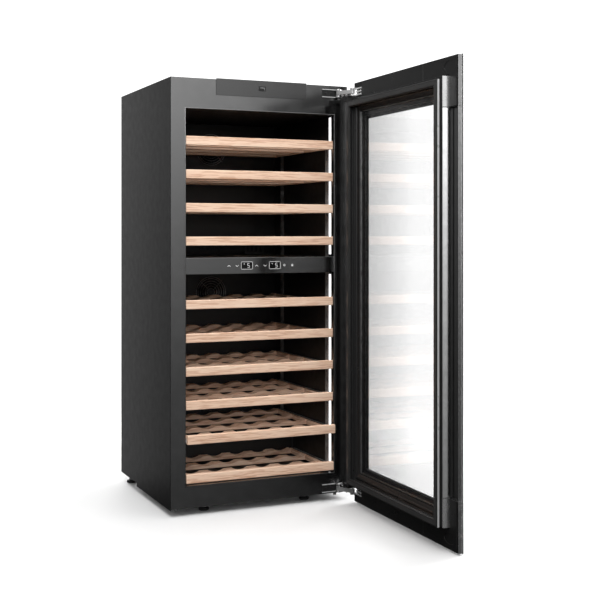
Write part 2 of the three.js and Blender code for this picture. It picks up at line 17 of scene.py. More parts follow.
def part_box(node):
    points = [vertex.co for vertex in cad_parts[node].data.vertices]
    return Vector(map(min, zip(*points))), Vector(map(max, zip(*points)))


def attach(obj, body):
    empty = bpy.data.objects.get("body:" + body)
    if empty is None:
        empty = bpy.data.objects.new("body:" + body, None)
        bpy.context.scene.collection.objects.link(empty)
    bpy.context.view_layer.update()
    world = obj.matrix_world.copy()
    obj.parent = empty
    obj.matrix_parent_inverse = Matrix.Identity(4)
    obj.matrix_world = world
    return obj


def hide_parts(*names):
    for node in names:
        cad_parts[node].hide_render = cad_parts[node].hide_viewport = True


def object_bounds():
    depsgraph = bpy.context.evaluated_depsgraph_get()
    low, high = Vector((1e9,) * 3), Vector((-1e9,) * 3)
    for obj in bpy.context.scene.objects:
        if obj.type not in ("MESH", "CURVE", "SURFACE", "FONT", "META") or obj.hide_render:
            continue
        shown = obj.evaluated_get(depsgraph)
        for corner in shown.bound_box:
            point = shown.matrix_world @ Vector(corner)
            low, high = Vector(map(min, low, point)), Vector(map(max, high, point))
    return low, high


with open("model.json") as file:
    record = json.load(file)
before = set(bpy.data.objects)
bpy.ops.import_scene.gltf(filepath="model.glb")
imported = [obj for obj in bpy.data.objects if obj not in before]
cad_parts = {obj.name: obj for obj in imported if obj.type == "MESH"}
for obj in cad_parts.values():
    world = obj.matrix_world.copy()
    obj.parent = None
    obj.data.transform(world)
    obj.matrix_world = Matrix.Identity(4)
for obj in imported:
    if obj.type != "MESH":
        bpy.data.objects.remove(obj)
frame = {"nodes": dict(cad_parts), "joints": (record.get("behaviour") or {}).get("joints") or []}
cad_box = [list(corner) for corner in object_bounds()]

MM = 0.001
ROOT = "cabinet"
DOOR = "door"
SIDES = {"left": -1, "right": 1}
ENDS = ("upper", "lower")
RACKS = sorted(name for name in frame["nodes"] if name.startswith("rack_"))


# ---- camera, lights and stage, in metres ----
CAMERA_PLACE = (-1.2272, -3.2515, 0.778)
CAMERA_YAW = math.radians(24.25)
CAMERA_LENS = 67.16
CAMERA_SENSOR = 36
CAMERA_SHIFT = -0.1127  # the camera is level, and the picture hangs below its horizon

# Each light's place, the point it faces, its width and height, and its power in watts.
LIGHTS = {
    "rear_left_softbox": ((-0.5, 1.05, 0.62), (-0.275, 0.25, 0.6), (0.25, 1.7), 0.55),
    "front_left_softbox": ((-1.1, -1.9, 2.3), (-0.2, -0.26, 1.0), (0.9, 0.9), 38),
    "overhead": ((0.1, -0.4, 3.2), (0, 0, 0), (3.0, 3.0), 60),
    "right_softbox": ((2.6, 0.2, 1.5), (0.3, -0.2, 0.6), (1.6, 2.0), 80),
    "rear_softbox": ((0.4, 2.6, 0.5), (0, 0.26, 0.5), (1.4, 1.2), 80),
}


def placed(name, data):
    """An object in the scene that shows the data."""
    thing = bpy.data.objects.new(name, data)
    bpy.context.scene.collection.objects.link(thing)
    return thing


def make_camera():
    data = bpy.data.cameras.new("camera")
    data.lens = CAMERA_LENS
    data.sensor_width = CAMERA_SENSOR
    data.shift_y = CAMERA_SHIFT
    camera = placed("camera", data)
    camera.location = CAMERA_PLACE
    camera.rotation_euler = (math.pi / 2, 0, -CAMERA_YAW)
    bpy.context.scene.camera = camera


def make_light(name, place, target, size, power):
    """A rectangular soft light that faces the target."""
    data = bpy.data.lights.new(name, "AREA")
    data.shape = "RECTANGLE"
    data.size, data.size_y = size
    data.energy = power
    light = placed(name, data)
    light.location = place
    light.rotation_euler = (Vector(target) - Vector(place)).to_track_quat("-Z", "Y").to_euler()
    light.visible_camera = False


class Graph:
    """The shader nodes of a world or a material."""

    def __init__(self, owner):
        owner.use_nodes = True
        self.nodes, self.links = owner.node_tree.nodes, owner.node_tree.links

    def add(self, kind, inputs=(), **settings):
        """Adds a node with its settings; an input is a value, or the output it is linked to."""
        node = self.nodes.new(f"ShaderNode{kind}")
        for name, value in settings.items():
            setattr(node, name, value)
        for socket, value in dict(inputs).items():
            if isinstance(value, bpy.types.NodeSocket):
                self.links.new(value, node.inputs[socket])
            else:
                node.inputs[socket].default_value = value
        return node

    def ranged(self, value, low, high, start=0.3, end=0.7, **settings):
        """A value's middle stretch, start to end, spread over low to high."""
        spans = {"Value": value, "From Min": start, "From Max": end, "To Min": low, "To Max": high}
        return self.add("MapRange", spans, **settings).outputs["Result"]

    def ramp(self, value, stops):
        """A value's colour on a ramp of (position, (r, g, b)) stops."""
        node = self.add("ValToRGB", {"Fac": value})
        elements = node.color_ramp.elements
        while len(elements) > 1:
            elements.remove(elements[0])
        elements[0].position, elements[0].color = stops[0][0], (*stops[0][1], 1)
        for position, colour in stops[1:]:
            elements.new(position).color = (*colour, 1)
        return node.outputs["Color"]

    def mixed(self, share, first, second):
        """Two shaders, mixed by the share of the second."""
        return self.add("MixShader", {"Fac": share, 1: first, 2: second}).outputs[0]


WHITE_BACKDROP = 1.42
HEIGHT_STOPS = ((-0.5, 0.04), (-0.24, 0.08), (-0.1, 0.17), (0.0, 0.35), (0.14, 0.9), (0.4, 1.0), (1.0, 0.9))
# Degrees from straight in front, towards the right, and the share of light from there.
AROUND_STOPS = (
    (-180, 0.35), (-165, 0.12), (-130, 0.15), (-95, 0.8), (-20, 1.0), (0, 1.7), (10, 1.7), (17, 1.05),
    (21, 0.95), (24, 0.6), (25.5, 0.1), (28, 0.1), (31, 0.6), (34, 1.0), (45, 1.1), (75, 0.8),
    (130, 0.7), (165, 0.8), (180, 0.35),
)  # fmt: skip


def make_world():
    """White to the camera; to everything else a studio that is dark below and bright above."""
    world = bpy.data.worlds.new("studio")
    bpy.context.scene.world = world
    graph = Graph(world)
    graph.nodes.clear()
    direction = graph.add("TexCoord").outputs["Generated"]
    parts = graph.add("SeparateXYZ", {0: direction}).outputs
    forward = graph.add("Math", {0: parts["Y"], 1: -1}, operation="MULTIPLY").outputs[0]
    angle = graph.add("Math", {0: parts["X"], 1: forward}, operation="ARCTAN2").outputs[0]
    upward = graded(graph, parts["Z"], HEIGHT_STOPS, 1)
    around = graded(graph, angle, [(math.radians(at), share) for at, share in AROUND_STOPS], math.pi)
    layers = {"Factor": 1, "A": upward, "B": around}
    levels = graph.add("Mix", layers, data_type="RGBA", blend_type="MULTIPLY").outputs["Result"]
    studio = graph.add("Background", {"Color": levels}).outputs[0]
    backdrop = graph.add("Background", {"Color": (1, 1, 1, 1), "Strength": WHITE_BACKDROP}).outputs[0]
    seen = graph.add("LightPath").outputs["Is Camera Ray"]
    graph.add("OutputWorld", {"Surface": graph.mixed(seen, studio, backdrop)})


def graded(graph, value, stops, reach):
    """Grey levels from (value, level) stops, for a value between minus and plus reach."""
    share = graph.ranged(value, 0, 1, -reach, reach)
    return graph.ramp(share, [((at / reach + 1) / 2, (level, level, level)) for at, level in stops])


FLOOR_RADIUS = 40
FLOOR_SIDES = 96
FLOOR_FADE = (0.9, 1.9)  # the floor turns from lit white into the backdrop between these radii


def make_floor():
    lowest = cad_box[0][2]
    bm = bmesh.new()
    bmesh.ops.create_circle(bm, cap_ends=True, segments=FLOOR_SIDES, radius=FLOOR_RADIUS)
    bmesh.ops.translate(bm, verts=bm.verts, vec=(0, 0, lowest))
    data = bpy.data.meshes.new("floor")
    bm.to_mesh(data)
    bm.free()
    floor = placed("floor", data)
    floor.visible_glossy = False
    floor.visible_diffuse = False
    data.materials.append(floor_material())


def floor_material():
    finish = Finish(grey(222), 0.85)
    finish.material.name = "floor_white"
    distance = finish.add("VectorMath", {0: finish.place}, operation="LENGTH").outputs["Value"]
    fade = finish.ranged(distance, 0, 1, *FLOOR_FADE, interpolation_type="SMOOTHSTEP")
    glow = finish.add("Emission", {"Strength": WHITE_BACKDROP}).outputs[0]
    return finish.show(finish.mixed(fade, finish.shader.outputs[0], glow))


# ---- materials ----
def linear(level):
    """One sRGB channel, 0 to 255, as a linear value."""
    share = level / 255
    return share / 12.92 if share <= 0.04045 else ((share + 0.055) / 1.055) ** 2.4


def rgb(red, green, blue):
    return (linear(red), linear(green), linear(blue))


def grey(level):
    return rgb(level, level, level)


class Finish(Graph):
    """A Principled material, with short calls that add its pattern in object space."""

    def __init__(self, base, roughness, metallic=0.0):
        self.material = bpy.data.materials.new("finish")
        super().__init__(self.material)
        self.shader = self.nodes["Principled BSDF"]
        self.place = self.add("TexCoord").outputs["Object"]
        self.base, self.roughness = base, roughness
        self.set("Base Color", (*base, 1))
        self.set("Roughness", roughness)
        self.set("Metallic", metallic)

    def set(self, socket, value):
        self.shader.inputs[socket].default_value = value

    def show(self, shader):
        """Puts another shader on the surface and returns the material."""
        self.links.new(shader, self.nodes["Material Output"].inputs["Surface"])
        return self.material

    def noise(self, per_metre, stretch=(1, 1, 1), detail=2.0):
        """Noise with that many patches in a metre; stretch below 1 draws it out along an axis."""
        place = self.add("Mapping", {"Vector": self.place, "Scale": stretch}).outputs["Vector"]
        inputs = {"Vector": place, "Scale": per_metre, "Detail": detail}
        return self.add("TexNoise", inputs).outputs["Fac"]

    def tint(self, value, *stops):
        """Colours the surface by a pattern, from (position, (r, g, b)) stops."""
        self.links.new(self.ramp(value, stops), self.shader.inputs["Base Color"])
        return self

    def shade(self, value, spread):
        """Varies the base colour by a share either way."""
        dark = tuple(channel * (1 - spread) for channel in self.base)
        light = tuple(min(channel * (1 + spread), 1) for channel in self.base)
        return self.tint(value, (0.3, dark), (0.7, light))

    def polish(self, value, spread):
        """Varies the roughness either way."""
        low, high = max(self.roughness - spread, 0.02), self.roughness + spread
        self.links.new(self.ranged(value, low, high), self.shader.inputs["Roughness"])
        return self

    def bump(self, value, height, strength=1.0):
        """Raises the surface by a pattern of that height in millimetres; returns the material."""
        inputs = {"Height": value, "Distance": height * MM, "Strength": strength}
        self.links.new(self.add("Bump", inputs).outputs["Normal"], self.shader.inputs["Normal"])
        return self.material


def painted(base, roughness, metallic=0.0, height=0.012):
    """Powder coat: a fine orange peel and slow changes of tone and gloss."""
    finish = Finish(base, roughness, metallic)
    finish.shade(finish.noise(5), 0.03).polish(finish.noise(40), 0.03)
    return finish.bump(finish.noise(900), height)


def brushed(base, roughness, stretch):
    """Metal brushed along the axis whose stretch is small."""
    finish = Finish(base, roughness, 1.0)
    lines = finish.noise(1400, stretch, detail=3)
    return finish.shade(lines, 0.12).polish(lines, 0.08).bump(lines, 0.004)


def moulded(base, roughness, grain=1500, height=0.015):
    """Moulded plastic with a fine spark-eroded grain."""
    finish = Finish(base, roughness)
    finish.shade(finish.noise(14), 0.07).polish(finish.noise(60), 0.05)
    return finish.bump(finish.noise(grain, detail=1), height)


def plated(base, roughness):
    """Bright plated or cast metal, slightly uneven."""
    finish = Finish(base, roughness, 1.0)
    finish.shade(finish.noise(60), 0.06).polish(finish.noise(220), 0.05)
    return finish.bump(finish.noise(420), 0.006)


BEECH_LIGHT = rgb(240, 211, 187)
BEECH_MID = rgb(228, 190, 163)
BEECH_DARK = rgb(198, 153, 125)
FLECK_SHARE = 0.55


def beech(stretch):
    """Oiled beech: soft growth bands, and short dark ray flecks along the grain."""
    finish = Finish(BEECH_MID, 0.5)
    bands = finish.noise(34, stretch, detail=4)
    flecks = finish.noise(420, tuple(share * 1.5 if share < 1 else 1 for share in stretch))
    inputs = {0: finish.ranged(flecks, 0, 1, 0.42, 0.5), 1: FLECK_SHARE, 2: finish.ranged(bands, 0, 0.45)}
    grain = finish.add("Math", inputs, operation="MULTIPLY_ADD").outputs[0]
    finish.tint(grain, (0.0, BEECH_DARK), (0.45, BEECH_MID), (1.0, BEECH_LIGHT))
    return finish.polish(bands, 0.06).bump(flecks, 0.03, 0.6)


def galvanised():
    """Zinc-coated sheet with its large, faint crystals."""
    finish = Finish(grey(150), 0.42, 0.9)
    crystals = finish.add("TexVoronoi", {"Vector": finish.place, "Scale": 90}).outputs["Color"]
    return finish.shade(crystals, 0.16).polish(crystals, 0.08).bump(finish.noise(700), 0.006)


GLASS_IOR = 1.5
GLASS_PAINTED_SHADE = (0.87, 1.0)  # the light it lets through, at the hinge side and past the middle: painted shade, darker towards the hinges
GLASS_SHADE_SPAN = (-0.36, -0.66)  # along Y in metres, with the door as it stands in the frame, where the painted shade fades out


def clear_glass():
    """A pane that lets light straight through and mirrors by Fresnel at each face.

    It lets a little less light through towards the hinges: a painted shade.
    """
    finish = Finish(grey(240), 0.0)
    finish.nodes.remove(finish.shader)
    along = finish.add("SeparateXYZ", {0: finish.place}).outputs["Y"]
    # painted shade: the light let through falls off towards the hinges
    through = finish.add("BsdfTransparent", {"Color": finish.ranged(along, *GLASS_PAINTED_SHADE, *GLASS_SHADE_SPAN)})
    mirror = finish.add("BsdfGlossy", {"Roughness": finish.ranged(finish.noise(9), 0.0, 0.012)})
    inside = finish.add("NewGeometry").outputs["Backfacing"]
    ior = finish.ranged(inside, GLASS_IOR, 1 / GLASS_IOR, 0, 1)  # the Fresnel node turns it over inside
    share = finish.add("Fresnel", {"IOR": ior}).outputs["Fac"]
    return finish.show(finish.mixed(share, through.outputs[0], mirror.outputs[0]))


def glowing(base, strength):
    """A lit surface; its brightness changes a little from place to place."""
    finish = Finish(base, 0.4)
    finish.shade(finish.noise(50), 0.03)
    finish.set("Emission Color", (*base, 1))
    finish.set("Emission Strength", strength)
    return finish.material


def striped(base, roughness, pitch, height):
    """Pleated metal with fine ribs along X, a pitch in millimetres apart."""
    finish = Finish(base, roughness, 0.9)
    inputs = {"Vector": finish.place, "Scale": 1 / (pitch * MM * 20)}
    waves = finish.add("TexWave", inputs).outputs["Fac"]
    return finish.shade(waves, 0.1).bump(waves, height)


ALONG_X, ALONG_Y, ALONG_Z = (0.03, 1, 1), (1, 0.03, 1), (1, 1, 0.03)
FINISHES = {
    "case_paint": painted(grey(24), 0.36),
    "frame_paint": painted(grey(142), 0.16, 1.0, height=0.002),
    "cover_paint": painted(grey(112), 0.24, 1.0, height=0.003),
    "galvanised": galvanised(),
    "liner": moulded(grey(17), 0.42),
    "grille": moulded(grey(44), 0.42),
    "panel": painted(grey(146), 0.14, 1.0, height=0.001),
    "display": moulded(grey(8), 0.12, height=0.002),
    "icon": glowing(grey(215), 0.3),
    "led": glowing(grey(252), 1.4),
    "led_channel": moulded(grey(26), 0.4),
    "runner": painted(grey(150), 0.35, 0.35),
    "slide": brushed(grey(120), 0.3, ALONG_Y),
    "beech_x": beech(ALONG_X),
    "beech_y": beech(ALONG_Y),
    "screw": plated(grey(185), 0.22),
    "fan": moulded(grey(24), 0.42),
    "wire": plated(grey(150), 0.3),
    "fins": striped(grey(176), 0.38, pitch=2, height=0.05),
    "black_enamel": painted(grey(18), 0.3),
    "copper": plated(rgb(196, 120, 84), 0.28),
    "relay": moulded(grey(34), 0.45),
    "tray_plastic": moulded(grey(200), 0.5),
    "foot": moulded(grey(20), 0.7, grain=700, height=0.06),
    "zinc": plated(grey(170), 0.34),
    "tray": painted(grey(26), 0.36, 0.3, height=0.003),
    "trim": painted(grey(24), 0.3, height=0.002),
    # lighter metal: on the ridges by the covers' caps a painted highlight of the cover's edge; on the
    # opening's folded bead the bead's own metal
    "bead_and_ridge_highlight": painted(grey(104), 0.3, 0.9, height=0.002),
    # bright grey: a painted highlight on the gasket by the grip, the covers' corners by the grip, and the
    # hinges' bright lips and fingers
    "painted_highlight": painted(grey(226), 0.3, 0.5, height=0.002),
    "dark_trim": moulded(grey(14), 0.5),
    "grip": plated(grey(248), 0.16),
    "grip_end": painted(grey(212), 0.26, 1.0, height=0.002),
    "bead": brushed(grey(150), 0.3, ALONG_Z),
    "clear_glass": clear_glass(),
    "frit": moulded(grey(9), 0.14, height=0.001),
    "gasket": moulded(grey(22), 0.62, grain=800, height=0.02),
    # lighter and glossier than the gasket: a painted sheen on the gasket's face
    "gasket_sheen": moulded(grey(50), 0.4, height=0.01),
    "chrome": plated(grey(200), 0.26),
    "cast": painted(grey(178), 0.34, 0.7, height=0.01),
    # near black: painted shade in the cover's slot, the bracket's channel and the leaf's plate; the damper's
    # housing and the step to the gasket are dark parts
    "shade_and_dark_parts": moulded(grey(10), 0.6),
}
for finish_name, finish_material in FINISHES.items():
    finish_material.name = finish_name


# ---- mesh building, in millimetres ----
AXES = {
    "X": Matrix(((0, 0, 1), (1, 0, 0), (0, 1, 0))),  # an outline in Y and Z, drawn out along X
    "Y": Matrix(((1, 0, 0), (0, 0, -1), (0, 1, 0))),  # an outline in X and Z, drawn out against Y
    "Z": Matrix.Identity(3),
}
HOLES_LEFT_OPEN = 5  # the output of delaunay_2d_cdt that keeps polygons whole and leaves holes out
SAME_POINT = 0.002 * MM
SAME_CAD_POINT = 0.01 * MM
SCREW_RISE = 0.62  # a head's height, as a share of its radius
SCREW_HEAD = ((1, 0), (1, 0.4), (0.8, 0.9), (0.5, 1), (0.42, 1), (0.36, 0.35), (0.04, 0.3))
SHARP_ANGLE = math.radians(32)
FLAT_ANGLE = math.radians(0.5)


def disc(x, z, radius, sides=24, start=0.0, end=2 * math.pi):
    """Points on a circle, or on the part of it from start to end."""
    whole = abs(end - start - 2 * math.pi) < 1e-6
    steps = sides if whole else sides - 1
    angles = [start + (end - start) * i / steps for i in range(sides)]
    return [(x + radius * math.cos(a), z + radius * math.sin(a)) for a in angles]


def rounded(x, z, radius, sides=5):
    """A rectangle between two spans, with round corners."""
    quarter = math.pi / 2
    corners = ((x[1], z[1], -1, -1), (x[0], z[1], 1, -1), (x[0], z[0], 1, 1), (x[1], z[0], -1, 1))
    points = []
    for i, (a, b, towards_a, towards_b) in enumerate(corners):
        centre = (a + towards_a * radius, b + towards_b * radius)
        points += disc(*centre, radius, sides, i * quarter, (i + 1) * quarter)
    return points


class Shape:
    """A mesh under construction."""

    def __init__(self):
        self.bm = bmesh.new()

    def faces_of(self, rings, capped=True):
        """Skins between rings of points with the same count; without caps the last ring meets the first."""
        made = [[self.bm.verts.new(point) for point in ring] for ring in rings]
        count = len(made[0])
        for low, high in zip(made, made[1:] if capped else made[1:] + made[:1]):
            for i in range(count):
                j = (i + 1) % count
                self.bm.faces.new((low[i], low[j], high[j], high[i]))
        if capped:
            self.bm.faces.new(made[0][::-1])
            self.bm.faces.new(made[-1])
        return self

    def box(self, x, y, z):
        corners = [(x[0], y[0]), (x[1], y[0]), (x[1], y[1]), (x[0], y[1])]
        return self.faces_of([[(a, b, height) for a, b in corners] for height in z])

    def plate(self, outlines, axis, start, end):
        """A flat plate; the first outline is its edge and the others are holes in it."""
        turn = AXES[axis]
        sign = -1 if axis == "Y" else 1
        corners, loops = [], []
        for points in outlines:
            loops.append(list(range(len(corners), len(corners) + len(points))))
            corners += points
        flat = [Vector(corner) for corner in corners]
        found = delaunay_2d_cdt(flat, [], loops, HOLES_LEFT_OPEN, 0.001)
        faces, origins = found[2], found[3]
        low, high = (
            [self.bm.verts.new(turn @ Vector((a, b, level * sign))) for a, b in corners]
            for level in (start, end)
        )
        for face in faces:
            for layer in (low, high):
                self.bm.faces.new([layer[origins[i][0]] for i in face])
        for loop in loops:
            for i, j in zip(loop, (*loop[1:], loop[0])):
                self.bm.faces.new((low[i], low[j], high[j], high[i]))
        return self

    def screw(self, centre, axis, radius, sign=1):
        """A pan head with a socket in it, whose head stands up from centre along the axis."""
        tall = SCREW_RISE * radius * sign
        return self.lathe([(r * radius, h * tall) for r, h in SCREW_HEAD], centre, axis, 14)

    def lathe(self, profile, centre, axis="Z", sides=28):
        """A profile of (radius, height) turned about an axis; both ends are closed."""
        rings = []
        for radius, height in profile:
            ring = [AXES[axis] @ Vector((*point, height)) for point in disc(0, 0, radius, sides)]
            rings.append([point + Vector(centre) for point in ring])
        return self.faces_of(rings)

    def tube(self, path, radius, sides=10, closed=False):
        """A round tube along a list of points."""
        points = [Vector(p) for p in path]
        rings = []
        normal = None
        for i, point in enumerate(points):
            before = points[i - 1] if i or closed else point
            after = points[(i + 1) % len(points)] if i < len(points) - 1 or closed else point
            tangent = (after - before).normalized()
            if normal is None:
                normal = tangent.orthogonal().normalized()
            normal = (normal - tangent * normal.dot(tangent)).normalized()
            side = tangent.cross(normal)
            rings.append([point + normal * a + side * b for a, b in disc(0, 0, radius, sides)])
        return self.faces_of(rings, capped=not closed)

    def frame(self, rect, profile):
        """A profile of (inward offset, y) points carried round a rectangle in X and Z."""
        left, right, bottom, top = rect
        corners = ((left, bottom, 1, 1), (right, bottom, -1, 1), (right, top, -1, -1), (left, top, 1, -1))
        rings = [[(x + sx * u, y, z + sz * u) for u, y in profile] for x, z, sx, sz in corners]
        return self.faces_of(rings, capped=False)

    def done(self, name, finish, body, slot, turn=None, bevel=0.0, segments=2, replaces=()):
        """Ends the mesh as a piece, in metres, that rides on a body; the door's pieces turn open."""
        if turn is None:
            turn = OPEN_TURN if body == DOOR else Matrix.Identity(4)
        bmesh.ops.transform(self.bm, matrix=Matrix.Scale(MM, 4) @ turn, verts=self.bm.verts)
        bmesh.ops.remove_doubles(self.bm, verts=self.bm.verts, dist=SAME_POINT)
        bmesh.ops.recalc_face_normals(self.bm, faces=self.bm.faces)
        data = bpy.data.meshes.new(name)
        self.bm.to_mesh(data)
        self.bm.free()
        piece = placed(name, data)
        data.materials.append(FINISHES[finish])
        smooth(piece, bevel, segments)
        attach(piece, body)
        if replaces:
            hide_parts(*replaces)


def smooth(piece, bevel, segments=2):
    """Smooth shading with true corners, and a small round on every edge if bevel is given."""
    piece.data.shade_smooth()
    if not bevel:
        piece.data.set_sharp_from_angle(angle=SHARP_ANGLE)
        return
    modifier = piece.modifiers.new("round", "BEVEL")
    modifier.width = bevel * MM
    modifier.segments = segments
    modifier.limit_method = "ANGLE"
    modifier.angle_limit = SHARP_ANGLE
    modifier.harden_normals = True


def soften(node, finish, bevel, segments=2):
    """Gives a CAD node its finish and rounds its edges, with modifiers only."""
    piece = frame["nodes"][node]
    data = piece.data
    if "custom_normal" in data.attributes:
        data.attributes.remove(data.attributes["custom_normal"])
    weld = piece.modifiers.new("weld", "WELD")
    weld.merge_threshold = SAME_CAD_POINT
    flat = piece.modifiers.new("flat", "DECIMATE")
    flat.decimate_type = "DISSOLVE"
    flat.angle_limit = FLAT_ANGLE
    data.materials.clear()
    data.materials.append(FINISHES[finish])
    smooth(piece, bevel, segments)


def place_of(node):
    """A node's lowest and highest corner as ((x0, x1), (y0, y1), (z0, z1)), in millimetres."""
    low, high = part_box(node)
    return tuple((low[i] / MM, high[i] / MM) for i in range(3))


DOOR_SWING = next(joint for joint in frame["joints"] if joint["name"] == "door_swing")
HINGE_AXIS = Vector(DOOR_SWING["pos_m"]) / MM
OPEN_TURN = (
    Matrix.Translation(HINGE_AXIS)
    @ Matrix.Rotation(math.radians(-DOOR_SWING["range_deg"][0]), 4, "Z")
    @ Matrix.Translation(-HINGE_AXIS)
)


def shut_place_of(node):
    """A door node's box with the door shut, in the form of place_of."""
    shut = OPEN_TURN.inverted()
    corners = [shut @ (vertex.co / MM) for vertex in frame["nodes"][node].data.vertices]
    return tuple((min(c[i] for c in corners), max(c[i] for c in corners)) for i in range(3))


def shut_rect_of(node):
    """A door node's left, right, bottom and top with the door shut."""
    x, _, z = shut_place_of(node)
    return (*x, *z)


def middle(pair):
    return (pair[0] + pair[1]) / 2


def mirrored(sign, pair):
    """A span on the left or the right side, in rising order."""
    return tuple(sorted((sign * pair[0], sign * pair[1])))


def inward(pair, by):
    """A span made shorter at both ends."""
    return (pair[0] + by, pair[1] - by)


def about(place, half):
    """A span of that half width about a place."""
    return (place - half, place + half)


def section_at(section, base):
    """A section of (offset, height) points that stands on a base."""
    return [(u, base + v) for u, v in section]


# ---- the nodes that keep their CAD shape ----
DUCTS = {zone: f"air_duct_{zone}" for zone in ENDS}
# A finish, the size of its rounded edges, and the nodes that have them.
SOFTENED = (
    ("case_paint", 0.35, ("side_panel_left", "side_panel_right")),
    ("case_paint", 0.3, ("top_panel",)),
    ("galvanised", 0.3, ("rear_cover",)),
    ("galvanised", 0.4, ("base_pan",)),
    ("frame_paint", 0.6, ("front_frame",)),
    ("cover_paint", 0.5, ("top_fixing_cover",)),
    ("liner", 0.6, ("liner_left", "liner_right", "liner_top", "liner_rear", *DUCTS.values())),
    ("liner", 1.0, ("liner_floor", "zone_divider")),
    ("panel", 0.7, ("control_panel",)),
    ("display", 0.3, ("display_board",)),
    ("fins", 0.2, ("evaporator_upper", "evaporator_lower")),
    ("tray", 0.5, ("door_tray",)),
    ("clear_glass", 0.5, ("door_outer_glass",)),
    ("clear_glass", 0.3, ("door_inner_glass",)),
    ("dark_trim", 0.3, ("glass_spacer",)),
    ("trim", 0.4, ("door_cover_top", "door_cover_bottom", "grip_cap_top", "grip_cap_bottom")),
)


def soften_nodes():
    for finish, bevel, nodes in SOFTENED:
        for node in nodes:
            soften(node, finish, bevel)


# ---- racks ----
STRIP_DEPTH, STRIP_HEIGHT = 15, 25.5
DECK_BOTTOM, DECK_TOP, BATTEN_TOP = 24, 10, 12  # below the top of the front strip
BATTEN = (211, 224)
SLAT_DEPTH, FIRST_SLAT, SLAT_PITCH = 32, 45, 95
BOTTLES_ACROSS, BOTTLE_PITCH = 6, 74
SEAT_RADIUS, SEAT_DEPTH = 45, 7
# The slide on a batten's outer face: (out from the batten, down from the front strip's top).
SLIDE_PROFILE = (
    (0.2, 24), (3.7, 24), (3.7, 22.8), (1.4, 22.8), (1.4, 12.2), (3.7, 12.2), (3.7, 11), (0.2, 11),
)  # fmt: skip
ANGLE_LEG, ANGLE_THICK = 22, 1.6
ANGLE_SCREW = 3


def slat_outline(top):
    """A cross slat with one round seat for each bottle, in X and Z."""
    half = BATTEN[0] + 4
    reach = math.acos((SEAT_RADIUS - SEAT_DEPTH) / SEAT_RADIUS)
    below = -math.pi / 2
    low, high = top - DECK_BOTTOM, top - DECK_TOP
    lift = high + SEAT_RADIUS - SEAT_DEPTH
    points = [(half, high), (half, low), (-half, low), (-half, high)]
    for i in range(BOTTLES_ACROSS):
        x = (i - (BOTTLES_ACROSS - 1) / 2) * BOTTLE_PITCH
        points += disc(x, lift, SEAT_RADIUS, 11, below - reach, below + reach)
    return points


def make_rack(rack):
    x, y, z = place_of(rack)
    top, strip_back = z[1], y[0] + STRIP_DEPTH
    strip = Shape().box(x, (y[0], strip_back), (top - STRIP_HEIGHT, top))
    strip.done(f"{rack}_front_strip", "beech_x", rack, "beech", bevel=2.2, segments=4, replaces=[rack])
    battens, slats, slides = Shape(), Shape(), Shape()
    for sign in SIDES.values():
        battens.box(mirrored(sign, BATTEN), (strip_back, y[1]), (top - DECK_BOTTOM, top - BATTEN_TOP))
        slide = [(sign * (BATTEN[1] + out), top - down) for out, down in SLIDE_PROFILE]
        slides.plate([slide], "Y", strip_back + 0.5, y[1])
    battens.done(f"{rack}_battens", "beech_y", rack, "beech", bevel=1.2, segments=3)
    first = strip_back + FIRST_SLAT
    count = round((y[1] - first) / SLAT_PITCH)
    step = (y[1] - SLAT_DEPTH - first) / (count - 1)
    for i in range(count):
        slats.plate([slat_outline(top)], "Y", first + i * step, first + i * step + SLAT_DEPTH)
    slats.done(f"{rack}_slats", "beech_x", rack, "beech", bevel=1.1)
    slides.done(f"{rack}_slides", "slide", rack, "runner_steel")
    fix_rack_strip(rack, top, strip_back)


def fix_rack_strip(rack, top, strip_back):
    """The two screws through each angle bracket that hold the front strip to its battens."""
    brackets, screws = Shape(), Shape()
    level = (top - DECK_BOTTOM + 2, top - BATTEN_TOP)
    for sign in SIDES.values():
        inner = BATTEN[0] - 0.3
        wide = mirrored(sign, (inner - ANGLE_LEG, inner))
        leg = mirrored(sign, (inner - ANGLE_THICK, inner))
        brackets.box(wide, (strip_back, strip_back + ANGLE_THICK), level)
        brackets.box(leg, (strip_back, strip_back + ANGLE_LEG), level)
        head = (middle(wide) - sign * 3, strip_back + ANGLE_THICK, middle(level))
        screws.screw(head, "Y", ANGLE_SCREW, sign=-1)
        head = (sign * (inner - ANGLE_THICK), strip_back + 14, middle(level))
        screws.screw(head, "X", ANGLE_SCREW, sign=-sign)
    brackets.done(f"{rack}_corner_brackets", "slide", rack, "runner_steel", bevel=0.4)
    screws.done(f"{rack}_screws", "screw", rack, "runner_steel")


# ---- runners and light strips ----
STANDARD_WIDTH, STANDARD_THICK = 20, 2.2
PUNCH_PITCH, PUNCH_WIDE, PUNCH_TALL = 23.625, 7, 14
RAIL_LEVEL = (22, 12)  # below the top of the rack it holds
RAIL_WALL = 1.2
ROLLER_PLACES = (9, 90)
ROLLER_EDGE = ((0.6, -2.6), (3.6, -2.2), (3.6, 2.2), (0.6, 2.6))


def standard_outlines(y, z):
    """An upright with a row of long holes, in Y and Z."""
    count = int((z[1] - z[0] - PUNCH_TALL) // PUNCH_PITCH)
    first = middle(z) - (count - 1) * PUNCH_PITCH / 2
    hole_y = about(middle(y), PUNCH_WIDE / 2)
    levels = [first + i * PUNCH_PITCH for i in range(count)]
    holes = [rounded(hole_y, about(level, PUNCH_TALL / 2), PUNCH_WIDE / 2 - 0.2, 4) for level in levels]
    return [rounded(y, z, 2, 3), *holes]


